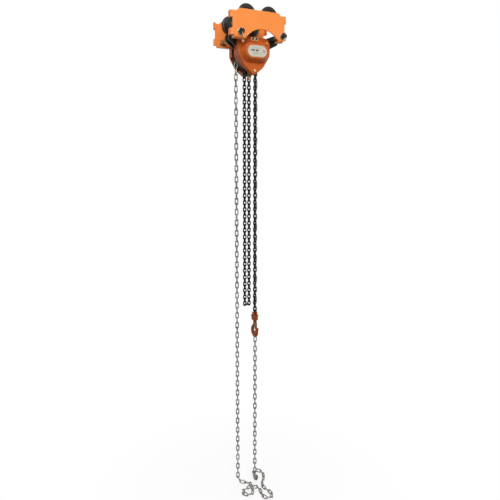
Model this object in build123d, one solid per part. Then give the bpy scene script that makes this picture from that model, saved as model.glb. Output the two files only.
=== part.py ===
from build123d import *
import os
from math import acos, asin, cos, degrees, pi, radians, sin, sqrt, tan

# Driving dimensions, in millimetres. X runs along the beam, Y across it, Z up.
# The origin lies on the beam flange's running surface, midway between the wheels.
BEAM_FLANGE = 160.0
BEAM_CLEARANCE = 3.0
RUNNING_GAP = 0.05

# Trolley wheels
WHEEL_X = 48.0
TREAD_D = 56.0
TREAD_W = 28.0
WHEEL_RIM_D = 74.0
WHEEL_RIM_T = 9.0
WHEEL_PLATE_GAP = 3.0
BEARING_D = 40.0
BEARING_BORE = 17.0
BEARING_W = 12.0
AXLE_SHOULDER_D = 24.0
AXLE_RIVET_D = 15.0
AXLE_TAIL = 3.5
CIRCLIP_T = 1.2

# Side plates
PLATE_T = 6.0
PLATE_HALF = 122.0
PLATE_TOP = 41.0
PLATE_END_TOP = 31.0
PLATE_BOTTOM = -67.0
RAISED_HALF = 85.0
SHOULDER_RUN = 10.0
BEND_R = 10.0
END_FOLD = 22.0
END_GAP_TOP = 6.0
END_GAP_BOTTOM = -34.0
LIP_FOLD = 24.0
LIP_INSET = 5.0
ARCH_X = 15.0
ARCH_HALF = 64.0
ARCH_TOP = -26.0

# Suspension shafts
SHAFT_MID_X = 13.0
SHAFT_HALF = 92.0
SHAFT_Z = -45.0
SHAFT_D = 14.0
SHAFT_TAIL = 6.0
SPACER_D = 21.0
WASHER_D = 28.0
WASHER_T = 3.0
WASHER_ROOM = 1.0
ADJUSTERS = 3
NUT_AF = 22.0
NUT_H = 12.0
SPLIT_PIN_D = 3.0

# Hoist frame
HOIST_X = 4.0
HOIST_Z = -106.0
FRAME_T = 5.0
FRAME_INNER = 15.0
EAR_R = 20.0
STAY_X = 53.0
STAY_TOP = 42.0
STAY_BOTTOM = -68.0
STAY_D = 12.0
STAY_END_D = 6.0
SLEEVE_D = 9.0
STAY_NUT_AF = 10.0
STAY_NUT_H = 5.0
FRAME_CORNER_X = 45.0
FRAME_CORNER_Z = 35.0
FRAME_CORNER_R = 22.0
FRAME_FOOT_R = 13.0

# Gear train: two equal stages between the drive pinion and the load gear
MODULE = 1.25
PINION_TEETH = 12
GEAR_TEETH = 42
BACKLASH = 0.3
ADDENDUM = 0.85
DEDENDUM = 1.25
GEAR_W = 9.0
GEAR_GAP = 1.5
JOURNAL_D = 8.0
PRESSURE_ANGLE = radians(20.0)

# Gear cover
COVER_HALF = 70.0
COVER_SHOULDER_Z = 6.0
COVER_TOP = 62.0
COVER_TIP = -82.0
COVER_CORNER_R = 26.0
COVER_TIP_R = 16.0
COVER_FRONT = -47.0
COVER_WALL = 3.0
DOME_FRONT = -75.0
NAME_PLATE_W = 84.0
NAME_PLATE_H = 44.0
NAME_PLATE_T = 1.0
NAME_PLATE_Z = 2.0
COVER_SIDE_R = 40.0
DOME_W = 126.0
DOME_H = 90.0
DOME_Z = 2.0
DOME_DRAFT_ANGLE = 33.0
COVER_EDGE_R = 3.0
BOSS_D = 13.0
LOCK_PLATE_W = 30.0
LOCK_PLATE_H = 11.0
LOCK_PLATE_T = 1.5
LOCK_PLATE_Z = 54.0
LOCK_SCREW_X = 7.0
LOCK_SCREW_D = 4.0
LOCK_HEAD_D = 7.5
LOCK_HEAD_H = 4.0

# Load chain and sheave
LOAD_WIRE = 5.0
LOAD_PITCH = 15.0
LOAD_WIDTH = 17.0
LOAD_POCKETS = 5
CHAIN_PLAY = 0.3
SHEAVE_D = 58.0
SHEAVE_JOURNAL_D = 28.0
SHEAVE_BEARING_D = 40.0
DRIVE_D = 12.0
WORKING_LINKS = 74
SLACK_LINKS = 71
RETURN_SHORT = 6
GUARD_T = 2.0
FACE_GAP = 0.1
SIDE_GAP = 1.0
GROOVE_PLAY = 1.2
POCKET_PLAY = 6.5
POCKET_SIDE_PLAY = 1.4
GUARD_INSET = 5.0
GUARD_IN_X = 35.0
GUARD_TOP = 40.0
GUIDE_D = 12.0
GUIDE_Z = 4.0
STRIPPER_FOOT_R = 7.8
STRIPPER_TIP_R = 3.0
STRIPPER_TIP_Z = -20.0
ANCHOR_CHEEK_T = 2.5
ANCHOR_PIN_D = 5.0

# Hand chain, hand wheel and brake
HAND_WIRE = 5.0
HAND_PITCH = 23.7
HAND_WIDTH = 17.0
HAND_POCKETS = 6
HAND_Y = 41.0
HAND_LINKS = 81
HAND_PLAY = 0.9
LAY_HEADING = 70.0
LANDING_ANGLES = (67.5, 45.0, 22.5)
OUT_LINKS = 5
BACK_LINKS = 7
HAND_RIM_W = 19.0
HAND_RIM_OVER = 5.0
BRAKE_D = 54.0
BRAKE_BORE = 20.0
BRAKE_HUB_T = 2.5
FRICTION_T = 2.0
RATCHET_T = 4.0
RATCHET_D = 76.0
RATCHET_TEETH = 16
RATCHET_DEPTH = 5.0
PAWL_D = 12.0
PAWL_PIN_D = 6.0
REAR_COVER_HALF = 68.0
REAR_COVER_TOP = 58.0
REAR_COVER_TIP = -78.0
REAR_COVER_BACK = 64.0
REAR_COVER_FRONT = 33.0
REAR_WALL = 2.0
DRIVE_END_D = 10.0
WHEEL_NUT_AF = 19.0
WHEEL_NUT_H = 6.0
PAWL_ANGLES = (70.0, 250.0)
NOSE_R = 1.5
NOSE_GAP = 0.3
NOSE_LEAD = 30.0
NOSE_RELIEF_SWINGS = (0.0, 1.25, 2.5, 3.75, 5.0)
WEB_HOLE_D = 9.0
WEB_HOLE_R = 23.5
RIM_INNER_R = 31.0
WEB_T = 6.0
HUB_R = 16.0
SLOT_IN = 34.0
SLOT_OUT = 80.0
SLOT_TOP = -6.0
SLOT_HALF = 11.5
REAR_EDGE_R = 5.0

# Hook block, measured from the chain pin
CHAIN_PIN_D = 6.0
YOKE_HALF_X = 11.0
YOKE_HALF_Y = 14.0
YOKE_HEAD_R = 6.3
YOKE_ROUND = 6.0
YOKE_DROP = 33.0
YOKE_SLOT = 6.4
YOKE_SLOT_DROP = 9.2
YOKE_BOLT_D = 4.0
YOKE_BOLT_AF = 7.0
YOKE_BOLT_HEAD = 2.5
YOKE_BOLT_Y = 8.0
YOKE_BOLT_DROP = 13.0
SWIVEL_TOP = -17.0
SWIVEL_FLOOR = -25.0
SWIVEL_BEARING_T = 3.0
SWIVEL_PLAY = 0.3
HOOK_SHANK_D = 12.0
HOOK_COLLAR_D = 17.0
HOOK_COLLAR_T = 4.0
HOOK_D = 14.0
HOOK_NECK = 8.0
HOOK_BACK_R = 24.0
HOOK_BACK_ARC = 60.0
HOOK_BOWL_R = 23.0
HOOK_BOWL_ARC = 245.0
HOOK_FLARE_R = 18.0
HOOK_FLARE_ARC = 40.0
LATCH_Y = -10.5
LATCH_DROP = 46.0
LATCH_NOSE_Y = -13.7
LATCH_NOSE_DROP = 70.0
LATCH_EYE_R = 3.6
LATCH_NOSE_R = 2.3
LATCH_HALF_X = 4.9
LATCH_CHEEK_T = 2.0
LATCH_WEB_DROP = 57.0
LATCH_PIN_D = 3.0
LATCH_LUG_T = 4.0
LATCH_SPRING_D = 6.0

# Places worked out from the driving dimensions
TREAD_R = TREAD_D / 2
RIM_INNER_Y = BEAM_FLANGE / 2 + BEAM_CLEARANCE
WHEEL_OUTER_Y = RIM_INNER_Y + WHEEL_RIM_T
WHEEL_INNER_Y = RIM_INNER_Y - TREAD_W
PLATE_INNER_Y = WHEEL_OUTER_Y + WHEEL_PLATE_GAP
PLATE_OUTER_Y = PLATE_INNER_Y + PLATE_T
SHAFT_XS = (SHAFT_MID_X - SHAFT_HALF, SHAFT_MID_X + SHAFT_HALF)
FRAME_OUTER = FRAME_INNER + FRAME_T
STAYS = ((-STAY_X, STAY_TOP), (STAY_X, STAY_TOP), (0.0, STAY_BOTTOM))
LOAD_CHAIN = {
    "pitch": LOAD_PITCH,
    "wire": LOAD_WIRE,
    "width": LOAD_WIDTH,
    "play": CHAIN_PLAY,
    "pockets": LOAD_POCKETS,
}
HAND_CHAIN = {
    "pitch": HAND_PITCH,
    "wire": HAND_WIRE,
    "width": HAND_WIDTH,
    "play": HAND_PLAY,
    "pockets": HAND_POCKETS,
}
NODES = {}


def keep(name, *solids):
    """Store one named sub-part as a group of separate solids."""
    found = []
    for shape in solids:
        found.extend(shape.solids())
    NODES[name] = found[0] if len(found) == 1 else Compound(children=found)


def prism(outline, y_low, y_high):
    """Extrude an X-Z outline between two Y planes."""
    return extrude(Plane.XZ.offset(-y_high) * outline, amount=y_high - y_low)


def rod(diameter, y_low, y_high, x=0.0, z=0.0):
    """A round bar along Y."""
    return Pos(x, 0, z) * prism(Circle(diameter / 2), y_low, y_high)


def ring(outer, inner, y_low, y_high, x=0.0, z=0.0):
    """A plain ring along Y."""
    return Pos(x, 0, z) * prism(Circle(outer / 2) - Circle(inner / 2), y_low, y_high)


def hexagon(across_flats):
    """A hexagon outline by its width across flats."""
    return RegularPolygon(across_flats / 2, 6, major_radius=False)


def turned(points, x=0.0, z=0.0):
    """Revolve a closed (radius, y) outline about the Y direction through x, z."""
    outline = make_face(Polyline(*points, close=True))
    return Pos(x, 0, z) * revolve(outline, Axis.Y)


def at_both_sides(make):
    """The same shape made for the front (-1) and the rear (+1) side."""
    return [make(-1), make(1)]


def across(solid, side):
    """Leave a rear-side shape as it is, or mirror it to the front."""
    return solid if side > 0 else mirror(solid, Plane.XZ)


# Side plate: a flat face with raised middle, arch and shaft holes, folded ends and folded tab lips
def side_plate_outline():
    flat_half = PLATE_HALF - BEND_R
    flat_bottom = PLATE_BOTTOM + BEND_R
    arch_left = (ARCH_X - ARCH_HALF, flat_bottom)
    arch_right = (ARCH_X + ARCH_HALF, flat_bottom)
    edges = Polyline(
        arch_left,
        (-flat_half, flat_bottom),
        (-flat_half, PLATE_END_TOP),
        (-RAISED_HALF - SHOULDER_RUN, PLATE_END_TOP),
        (-RAISED_HALF, PLATE_TOP),
        (RAISED_HALF, PLATE_TOP),
        (RAISED_HALF + SHOULDER_RUN, PLATE_END_TOP),
        (flat_half, PLATE_END_TOP),
        (flat_half, flat_bottom),
        arch_right,
    )
    arch = ThreePointArc(arch_right, (ARCH_X, ARCH_TOP), arch_left)
    return make_face(edges + arch)


def fold_section(depth):
    """The L-shaped bend of a folded edge: flat face along +u, fold running to -v."""
    inner_r = BEND_R - PLATE_T
    outer = Circle(BEND_R) - Circle(inner_r)
    quarter = Rectangle(BEND_R, BEND_R, align=(Align.MIN, Align.MIN))
    leg = Pos(inner_r, 0) * Rectangle(PLATE_T, depth - BEND_R, align=(Align.MIN, Align.MAX))
    return (outer & quarter) + leg


def side_plate(side):
    flat = prism(side_plate_outline(), PLATE_INNER_Y, PLATE_OUTER_Y)
    bend_y = PLATE_OUTER_Y - BEND_R
    end_x = PLATE_HALF - BEND_R
    lip_z = PLATE_BOTTOM + BEND_R
    plate = flat
    for low, high in ((END_GAP_TOP, PLATE_END_TOP), (lip_z, END_GAP_BOTTOM)):
        right = Pos(end_x, bend_y, low) * extrude(fold_section(END_FOLD), amount=high - low)
        plate += right
        plate += mirror(right, Plane.YZ)
    lips = (
        (-end_x + LIP_INSET, ARCH_X - ARCH_HALF - LIP_INSET),
        (ARCH_X + ARCH_HALF + LIP_INSET, end_x - LIP_INSET),
    )
    for low, high in lips:
        down = Plane(origin=(low, bend_y, lip_z), x_dir=(0, 0, -1), z_dir=(1, 0, 0))
        plate += extrude(down * fold_section(LIP_FOLD), amount=high - low)
    for x in SHAFT_XS:
        plate -= rod(SHAFT_D + 2 * RUNNING_GAP, PLATE_INNER_Y - 1, PLATE_OUTER_Y + 1, x, SHAFT_Z)
        plate -= rod(WASHER_D + WASHER_ROOM, 0, PLATE_INNER_Y, x, SHAFT_Z)
    for x in (-WHEEL_X, WHEEL_X):
        plate -= rod(AXLE_RIVET_D, PLATE_INNER_Y - 1, PLATE_OUTER_Y + 1, x, TREAD_R)
    return across(plate, side)


keep("side_plate_front", side_plate(-1))
keep("side_plate_rear", side_plate(1))


# Wheels: turned tread and guide rim, with a bearing bore and a dished inner face
def wheel(side):
    bore = BEARING_D / 2 + 2 * RUNNING_GAP
    dish_r = TREAD_R - 4.0
    hub_r = bore + 2.5
    rim_r = WHEEL_RIM_D / 2
    shape = turned(
        [
            (bore, WHEEL_INNER_Y),
            (hub_r, WHEEL_INNER_Y),
            (hub_r, WHEEL_INNER_Y + 3),
            (dish_r, WHEEL_INNER_Y + 3),
            (dish_r, WHEEL_INNER_Y),
            (TREAD_R - 1.5, WHEEL_INNER_Y),
            (TREAD_R, WHEEL_INNER_Y + 1.5),
            (TREAD_R, RIM_INNER_Y - 2),
            (TREAD_R + 2, RIM_INNER_Y),
            (rim_r - 2, RIM_INNER_Y + 1),
            (rim_r, RIM_INNER_Y + 3),
            (rim_r, WHEEL_OUTER_Y - 2),
            (rim_r - 2, WHEEL_OUTER_Y),
            (bore + 4, WHEEL_OUTER_Y),
            (bore, WHEEL_OUTER_Y - 2),
        ]
    )
    return across(shape, side)


# Axle parts are stacked inwards from the plate: shoulder, two bearings, circlip
BEARING_OUT_Y = WHEEL_OUTER_Y - 4.0
BEARING_IN_Y = BEARING_OUT_Y - 2 * BEARING_W
AXLE_END_Y = BEARING_IN_Y - CIRCLIP_T - AXLE_TAIL


def stub_axle(side):
    seat_r = BEARING_BORE / 2
    groove_r = seat_r - 0.6
    clip_y = BEARING_IN_Y - CIRCLIP_T
    shape = turned(
        [
            (0, AXLE_END_Y),
            (seat_r - 1, AXLE_END_Y),
            (seat_r, AXLE_END_Y + 1),
            (seat_r, clip_y),
            (groove_r, clip_y),
            (groove_r, BEARING_IN_Y),
            (seat_r, BEARING_IN_Y),
            (seat_r, BEARING_OUT_Y),
            (AXLE_SHOULDER_D / 2, BEARING_OUT_Y),
            (AXLE_SHOULDER_D / 2, PLATE_INNER_Y),
            (AXLE_RIVET_D / 2, PLATE_INNER_Y),
            (AXLE_RIVET_D / 2, PLATE_OUTER_Y),
            (0, PLATE_OUTER_Y),
        ]
    )
    return across(shape, side)


def wheel_bearing(side, step):
    low = BEARING_IN_Y + step * BEARING_W
    high = low + BEARING_W
    return across(ring(BEARING_D, BEARING_BORE, low, high), side)


def axle_circlip(side):
    outer = BEARING_BORE / 2 + 3
    inner = BEARING_BORE / 2 - 0.6
    open_gap = Pos(0, -outer) * Rectangle(6, 2 * (outer - inner) + 4)
    clip = Circle(outer) - Circle(inner) - open_gap
    return across(prism(clip, BEARING_IN_Y - CIRCLIP_T, BEARING_IN_Y), side)


WHEEL_PLACES = [
    (end + "_" + face, x, side)
    for face, side in (("front", -1), ("rear", 1))
    for end, x in (("left", -WHEEL_X), ("right", WHEEL_X))
]
for wheel_name, wheel_x, wheel_side in WHEEL_PLACES:
    keep("wheel_" + wheel_name, Pos(wheel_x, 0, TREAD_R) * wheel(wheel_side))
keep(
    "wheel_bearings",
    *[Pos(x, 0, TREAD_R) * wheel_bearing(s, k) for _, x, s in WHEEL_PLACES for k in (0, 1)],
)
keep("stub_axles", *[Pos(x, 0, TREAD_R) * stub_axle(s) for _, x, s in WHEEL_PLACES])
keep("axle_circlips", *[Pos(x, 0, TREAD_R) * axle_circlip(s) for _, x, s in WHEEL_PLACES])

# Suspension shafts with everything that is threaded on them
NUT_BASE_Y = PLATE_OUTER_Y + WASHER_T
SHAFT_END_Y = NUT_BASE_Y + NUT_H + SHAFT_TAIL
PIN_Y = NUT_BASE_Y + NUT_H + SHAFT_TAIL / 2
ADJUST_Y = PLATE_INNER_Y - ADJUSTERS * WASHER_T
SHAFT_BORE = SHAFT_D + 2 * RUNNING_GAP


def suspension_shaft(x):
    bar = rod(SHAFT_D, -SHAFT_END_Y, SHAFT_END_Y)
    bar = chamfer(bar.edges().filter_by(GeomType.CIRCLE), 1.2)
    for side in (-1, 1):
        bar -= Pos(0, side * PIN_Y, 0) * Cylinder(SPLIT_PIN_D / 2, SHAFT_D + 2)
    return Pos(x, 0, SHAFT_Z) * bar


def shaft_nut(side):
    nut = prism(hexagon(NUT_AF) - Circle(SHAFT_D / 2), NUT_BASE_Y, NUT_BASE_Y + NUT_H)
    dome = turned(
        [
            (0, NUT_BASE_Y - 4),
            (NUT_AF, NUT_BASE_Y - 4),
            (NUT_AF / 2, NUT_BASE_Y + NUT_H),
            (0, NUT_BASE_Y + NUT_H),
        ]
    )
    return across(nut & dome, side)


def split_pin(side):
    body_r = SPLIT_PIN_D / 2
    stem = Pos(0, PIN_Y, 0) * Cylinder(body_r, SHAFT_D + 10)
    eye = Pos(0, PIN_Y, SHAFT_D / 2 + 5 + body_r) * Rot(0, 90, 0) * Torus(body_r + 1.2, body_r * 0.8)
    return across(stem + eye, side)


for shaft_name, shaft_x in zip(("left", "right"), SHAFT_XS):
    keep("suspension_shaft_" + shaft_name, suspension_shaft(shaft_x))
SHAFT_ENDS = [(x, s) for x in SHAFT_XS for s in (-1, 1)]
keep("shaft_nuts", *[Pos(x, 0, SHAFT_Z) * shaft_nut(s) for x, s in SHAFT_ENDS])
keep("split_pins", *[Pos(x, 0, SHAFT_Z) * split_pin(s) for x, s in SHAFT_ENDS])
keep(
    "shaft_washers",
    *[
        across(ring(WASHER_D, SHAFT_BORE, PLATE_OUTER_Y, NUT_BASE_Y, x, SHAFT_Z), s)
        for x, s in SHAFT_ENDS
    ],
)
ADJUSTER_STARTS = [ADJUST_Y + k * WASHER_T for k in range(ADJUSTERS)]
keep(
    "adjusting_washers",
    *[
        across(ring(WASHER_D, SHAFT_BORE, low, low + WASHER_T, x, SHAFT_Z), s)
        for x, s in SHAFT_ENDS
        for low in ADJUSTER_STARTS
    ],
)
SPACER_SPANS = ((-ADJUST_Y, -FRAME_OUTER), (-FRAME_INNER, FRAME_INNER), (FRAME_OUTER, ADJUST_Y))
keep(
    "spacer_tubes",
    *[ring(SPACER_D, SHAFT_BORE, low, high, x, SHAFT_Z) for x in SHAFT_XS for low, high in SPACER_SPANS],
)


# Hoist frame: two plates with an ear for each suspension shaft
HOIST = Pos(HOIST_X, 0, HOIST_Z)
GEAR_CENTRES = MODULE * (PINION_TEETH + GEAR_TEETH) / 2
GEAR_XS = (-GEAR_CENTRES, GEAR_CENTRES)


def hull_of(*discs):
    """The rounded outline drawn tightly round discs given as (x, z, radius)."""
    edges = []
    for x, z, radius in discs:
        edges.extend((Pos(x, z) * Circle(radius)).edges())
    return make_hull(edges)


def frame_plate(side):
    corners = [(s * FRAME_CORNER_X, FRAME_CORNER_Z, FRAME_CORNER_R) for s in (-1, 1)]
    ears = [(x - HOIST_X, SHAFT_Z - HOIST_Z, EAR_R) for x in SHAFT_XS]
    outline = hull_of(*corners, (0, STAY_BOTTOM, FRAME_FOOT_R))
    for corner, ear in zip(corners, ears):
        outline += hull_of(corner, ear)
    outline -= Circle(SHEAVE_BEARING_D / 2)
    for x, z, _ in ears:
        outline -= Pos(x, z) * Circle(SHAFT_BORE / 2)
    for x, z in STAYS:
        outline -= Pos(x, z) * Circle(STAY_END_D / 2)
    if side < 0:
        for x in GEAR_XS:
            outline -= Pos(x, 0) * Circle(JOURNAL_D / 2 + RUNNING_GAP)
    else:
        for x, z in PAWL_PLACES:
            outline -= Pos(x, z) * Circle(PAWL_PIN_D / 2)
    return HOIST * across(prism(outline, FRAME_INNER, FRAME_OUTER), side)


# The pawls sit outside the ratchet disc, on pins in the rear frame plate
PAWL_RADIUS = RATCHET_D / 2 + 10.0
PAWL_PLACES = [(PAWL_RADIUS * cos(radians(a)), PAWL_RADIUS * sin(radians(a))) for a in PAWL_ANGLES]

keep("hoist_frame_front", frame_plate(-1))
keep("hoist_frame_rear", frame_plate(1))

# Stay bolts hold the frame plates apart and carry both covers
STAY_FRONT_Y = COVER_FRONT - STAY_NUT_H - 2.0
STAY_REAR_Y = REAR_COVER_BACK + STAY_NUT_H + 2.0


def stay_bolt(x, z):
    bolt = rod(STAY_D, -FRAME_INNER, FRAME_INNER, x, z)
    return bolt + rod(STAY_END_D, STAY_FRONT_Y, STAY_REAR_Y, x, z)


def stay_nut(x, z, base, top):
    return Pos(x, 0, z) * prism(hexagon(STAY_NUT_AF) - Circle(STAY_END_D / 2), base, top)


keep("stay_bolts", *[HOIST * stay_bolt(x, z) for x, z in STAYS])
keep(
    "cover_nuts",
    *[HOIST * stay_nut(x, z, COVER_FRONT - STAY_NUT_H, COVER_FRONT) for x, z in STAYS],
    *[HOIST * stay_nut(x, z, REAR_COVER_BACK, REAR_COVER_BACK + STAY_NUT_H) for x, z in STAYS],
)
REAR_FLOOR_Y = REAR_COVER_BACK - REAR_WALL
keep(
    "cover_sleeves",
    *[HOIST * ring(SLEEVE_D, STAY_END_D, FRAME_OUTER, REAR_FLOOR_Y, x, z) for x, z in STAYS],
)


# Gears: involute flanks cut short at the tip, with backlash shared between the flanks


def involute(angle):
    return tan(angle) - angle


def gear_outline(teeth, turn):
    pitch_r = MODULE * teeth / 2
    base_r = pitch_r * cos(PRESSURE_ANGLE)
    root_r = pitch_r - DEDENDUM * MODULE
    tip_r = pitch_r + ADDENDUM * MODULE
    half_pitch = pi / (2 * teeth) - BACKLASH / (2 * pitch_r) + involute(PRESSURE_ANGLE)
    start_r = max(base_r, root_r)
    flank = [(r, half_pitch - involute(acos(base_r / r))) for r in (start_r, pitch_r, tip_r)]
    if root_r < start_r:
        flank.insert(0, (root_r, flank[0][1]))
    points = []
    for tooth in range(teeth):
        middle = radians(turn) + 2 * pi * tooth / teeth
        rising = [(r, middle - a) for r, a in flank]
        falling = [(r, middle + a) for r, a in reversed(flank)]
        points.extend((r * cos(a), r * sin(a)) for r, a in rising + falling)
    return make_face(Polyline(*points, close=True))


LOAD_GEAR_Y = -FRAME_OUTER - GEAR_GAP
FIRST_STAGE_Y = LOAD_GEAR_Y - GEAR_W - GEAR_GAP
GEAR_FRONT_Y = FIRST_STAGE_Y - GEAR_W
JOURNAL_FRONT_Y = GEAR_FRONT_Y - 9.0
DOME_FLOOR_Y = DOME_FRONT + COVER_WALL


def gear_at(teeth, turn, high):
    return prism(gear_outline(teeth, turn), high - GEAR_W, high)


def intermediate_gear(x):
    small = gear_at(PINION_TEETH, 180.0 / PINION_TEETH, LOAD_GEAR_Y)
    large = gear_at(GEAR_TEETH, 180.0 / GEAR_TEETH, FIRST_STAGE_Y)
    step = rod(2 * JOURNAL_D * 0.7, FIRST_STAGE_Y, LOAD_GEAR_Y - GEAR_W)
    shaft = rod(JOURNAL_D, JOURNAL_FRONT_Y, -FRAME_INNER)
    return Pos(x, 0, 0) * (small + large + step + shaft)


keep("intermediate_gear_left", HOIST * intermediate_gear(-GEAR_CENTRES))
keep("intermediate_gear_right", HOIST * intermediate_gear(GEAR_CENTRES))
keep(
    "load_gear",
    HOIST * (gear_at(GEAR_TEETH, 0.0, LOAD_GEAR_Y) - rod(SHEAVE_JOURNAL_D, -60, 0)),
)


# Gear cover: a shield-shaped shell with a drafted dome, bosses for the stays and for the gear journals


def shield(half, top, tip, inset=0.0):
    """Rounded shield outline: wide at the shoulders, drawn in to a round tip."""
    corner_x = half - COVER_CORNER_R
    corner_z = top - COVER_CORNER_R
    side_x = half - COVER_SIDE_R
    discs = []
    for s in (-1, 1):
        discs.append((s * corner_x, corner_z, COVER_CORNER_R - inset))
        discs.append((s * side_x, COVER_SHOULDER_Z, COVER_SIDE_R - inset))
    discs.append((0, tip + COVER_TIP_R, COVER_TIP_R - inset))
    return hull_of(*discs)


def dome(width, height, start, end):
    outline = Plane.XZ.offset(-start) * Pos(0, DOME_Z) * SlotOverall(width, height)
    return extrude(outline, amount=start - end, taper=DOME_DRAFT_ANGLE)


def gear_cover():
    body = prism(shield(COVER_HALF, COVER_TOP, COVER_TIP), COVER_FRONT, -FRAME_OUTER)
    front = body.faces().sort_by(Axis.Y)[0]
    body = fillet(front.edges(), COVER_EDGE_R)
    body += dome(DOME_W, DOME_H, COVER_FRONT, DOME_FRONT)
    rim = body.faces().sort_by(Axis.Y)[0]
    body = fillet(rim.edges(), COVER_EDGE_R)
    hollow = prism(
        shield(COVER_HALF, COVER_TOP, COVER_TIP, COVER_WALL), COVER_FRONT + COVER_WALL, -FRAME_OUTER + 1
    )
    inset = 2 * COVER_WALL
    hollow += dome(DOME_W - inset, DOME_H - inset, COVER_FRONT + COVER_WALL, DOME_FLOOR_Y)
    for x, z in STAYS:
        hollow -= rod(BOSS_D, COVER_FRONT, -FRAME_OUTER, x, z)
    for x in (*GEAR_XS, 0.0):
        hollow -= rod(BOSS_D, DOME_FRONT, GEAR_FRONT_Y - 1.0, x, 0)
    body -= hollow
    for x, z in STAYS:
        body -= rod(STAY_END_D, DOME_FRONT, 0, x, z)
    for x in (*GEAR_XS, 0.0):
        body -= rod(JOURNAL_D + 2 * RUNNING_GAP, JOURNAL_FRONT_Y - 1, 0, x, 0)
    for s in (-1, 1):
        body -= rod(LOCK_SCREW_D, COVER_FRONT - 1, COVER_FRONT + 9, s * LOCK_SCREW_X, LOCK_PLATE_Z)
    return HOIST * body


def name_plate():
    outline = Pos(0, NAME_PLATE_Z) * SlotOverall(NAME_PLATE_W, NAME_PLATE_H)
    return HOIST * prism(outline, DOME_FRONT - NAME_PLATE_T, DOME_FRONT)


def lock_plate():
    outline = Pos(0, LOCK_PLATE_Z) * RectangleRounded(LOCK_PLATE_W, LOCK_PLATE_H, 2)
    for s in (-1, 1):
        outline -= Pos(s * LOCK_SCREW_X, LOCK_PLATE_Z) * Circle(LOCK_SCREW_D / 2)
    return HOIST * prism(outline, COVER_FRONT - LOCK_PLATE_T, COVER_FRONT)


def lock_screw(s):
    base = COVER_FRONT - LOCK_PLATE_T
    head = prism(hexagon(LOCK_HEAD_D), base - LOCK_HEAD_H, base)
    screw = head + rod(LOCK_SCREW_D, base, COVER_FRONT + 8)
    return HOIST * Pos(s * LOCK_SCREW_X, 0, LOCK_PLATE_Z) * screw


keep("gear_cover", gear_cover())
keep("name_plate", name_plate())
keep("lock_plate", lock_plate())
keep("lock_screws", lock_screw(-1), lock_screw(1))


# Load sheave: pockets for the flat links, a groove for the upright ones, hollow journals


def link_span(chain, kind, start, end):
    """Distance between a link's joints, each in the middle of its own or of its neighbour's end wire."""
    lap = chain["wire"] + chain["play"]
    return chain["pitch"] - lap + lap * (kind == start) + lap * (kind == end)


def joint_radius(chain):
    """Radius through the joints of a chain lying round its pocket wheel."""
    flat = link_span(chain, "flat", "flat", "flat")
    upright = link_span(chain, "upright", "flat", "flat")
    half = pi / chain["pockets"]
    return sqrt(flat**2 + upright**2 + 2 * flat * upright * cos(half)) / (2 * sin(half))


def half_angle(chain, kind):
    """Half of the angle that one link takes up on the pocket wheel, in degrees."""
    return degrees(asin(link_span(chain, kind, "flat", "flat") / (2 * joint_radius(chain))))


def mid_radius(chain, kind):
    """Radius of the middle of a link lying on the pocket wheel."""
    return joint_radius(chain) * cos(radians(half_angle(chain, kind)))


def pocket_cutter(chain, reach):
    """One link-shaped pocket for each flat link round a wheel centred on Y = 0."""
    floor_r = mid_radius(chain, "flat") - chain["wire"] / 2 - CHAIN_PLAY
    length = chain["pitch"] + 2 * chain["wire"] + POCKET_PLAY
    cutters = []
    for k in range(chain["pockets"]):
        angle = (pi / 2 + 2 * pi * k) / chain["pockets"]
        out = (cos(angle), 0, sin(angle))
        seat = Plane(
            origin=(floor_r * out[0], 0, floor_r * out[2]),
            x_dir=(-out[2], 0, out[0]),
            z_dir=out,
        )
        outline = SlotOverall(length, chain["width"] + POCKET_SIDE_PLAY)
        cutters.append(extrude(seat * outline, amount=reach))
    return cutters


def groove_cutter(chain, outer):
    """The ring-shaped groove that the upright links run in."""
    floor_d = 2 * (mid_radius(chain, "upright") - chain["width"] / 2 - GROOVE_PLAY / 2)
    half = (chain["wire"] + GROOVE_PLAY) / 2
    return ring(outer + 2, floor_d, -half, half)


def load_sheave():
    half = FRAME_INNER - SIDE_GAP
    body = rod(SHEAVE_D, -half, half)
    body = chamfer(body.edges().filter_by(GeomType.CIRCLE), 2.0)
    body += rod(SHEAVE_JOURNAL_D, LOAD_GEAR_Y - GEAR_W, FRAME_OUTER)
    body -= groove_cutter(LOAD_CHAIN, SHEAVE_D)
    for cutter in pocket_cutter(LOAD_CHAIN, SHEAVE_D):
        body -= cutter
    body -= rod(DRIVE_D + 2 * RUNNING_GAP, -60, 60)
    return HOIST * body


def sheave_bearing(side):
    inner = SHEAVE_JOURNAL_D + 2 * RUNNING_GAP
    return HOIST * across(ring(SHEAVE_BEARING_D, inner, FRAME_INNER, FRAME_OUTER), side)


keep("load_sheave", load_sheave())
keep("sheave_bearings", *at_both_sides(sheave_bearing))

# Brake stack on the drive shaft, counted outwards from the rear frame plate
HUB_Y = FRAME_OUTER + 0.6
FRICTION_IN_Y = HUB_Y + BRAKE_HUB_T
RATCHET_Y = FRICTION_IN_Y + FRICTION_T + FACE_GAP
FRICTION_OUT_Y = RATCHET_Y + RATCHET_T + FACE_GAP
HAND_WEB_Y = FRICTION_OUT_Y + FRICTION_T
HAND_HUB_END_Y = HAND_Y + HAND_RIM_W / 2 - 0.5
DRIVE_END_Y = HAND_HUB_END_Y + WHEEL_NUT_H + 2.0


def drive_shaft():
    shaft = rod(DRIVE_D, FIRST_STAGE_Y, HAND_HUB_END_Y)
    shaft += gear_at(PINION_TEETH, 0.0, FIRST_STAGE_Y)
    shaft += rod(JOURNAL_D, JOURNAL_FRONT_Y, GEAR_FRONT_Y)
    shaft += rod(DRIVE_END_D, HAND_HUB_END_Y, DRIVE_END_Y)
    return HOIST * shaft


def friction_hub():
    hub = rod(BRAKE_D, HUB_Y, FRICTION_IN_Y) + rod(BRAKE_BORE, HUB_Y, HAND_HUB_END_Y)
    return HOIST * (hub - rod(DRIVE_D, 0, 100))


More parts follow.
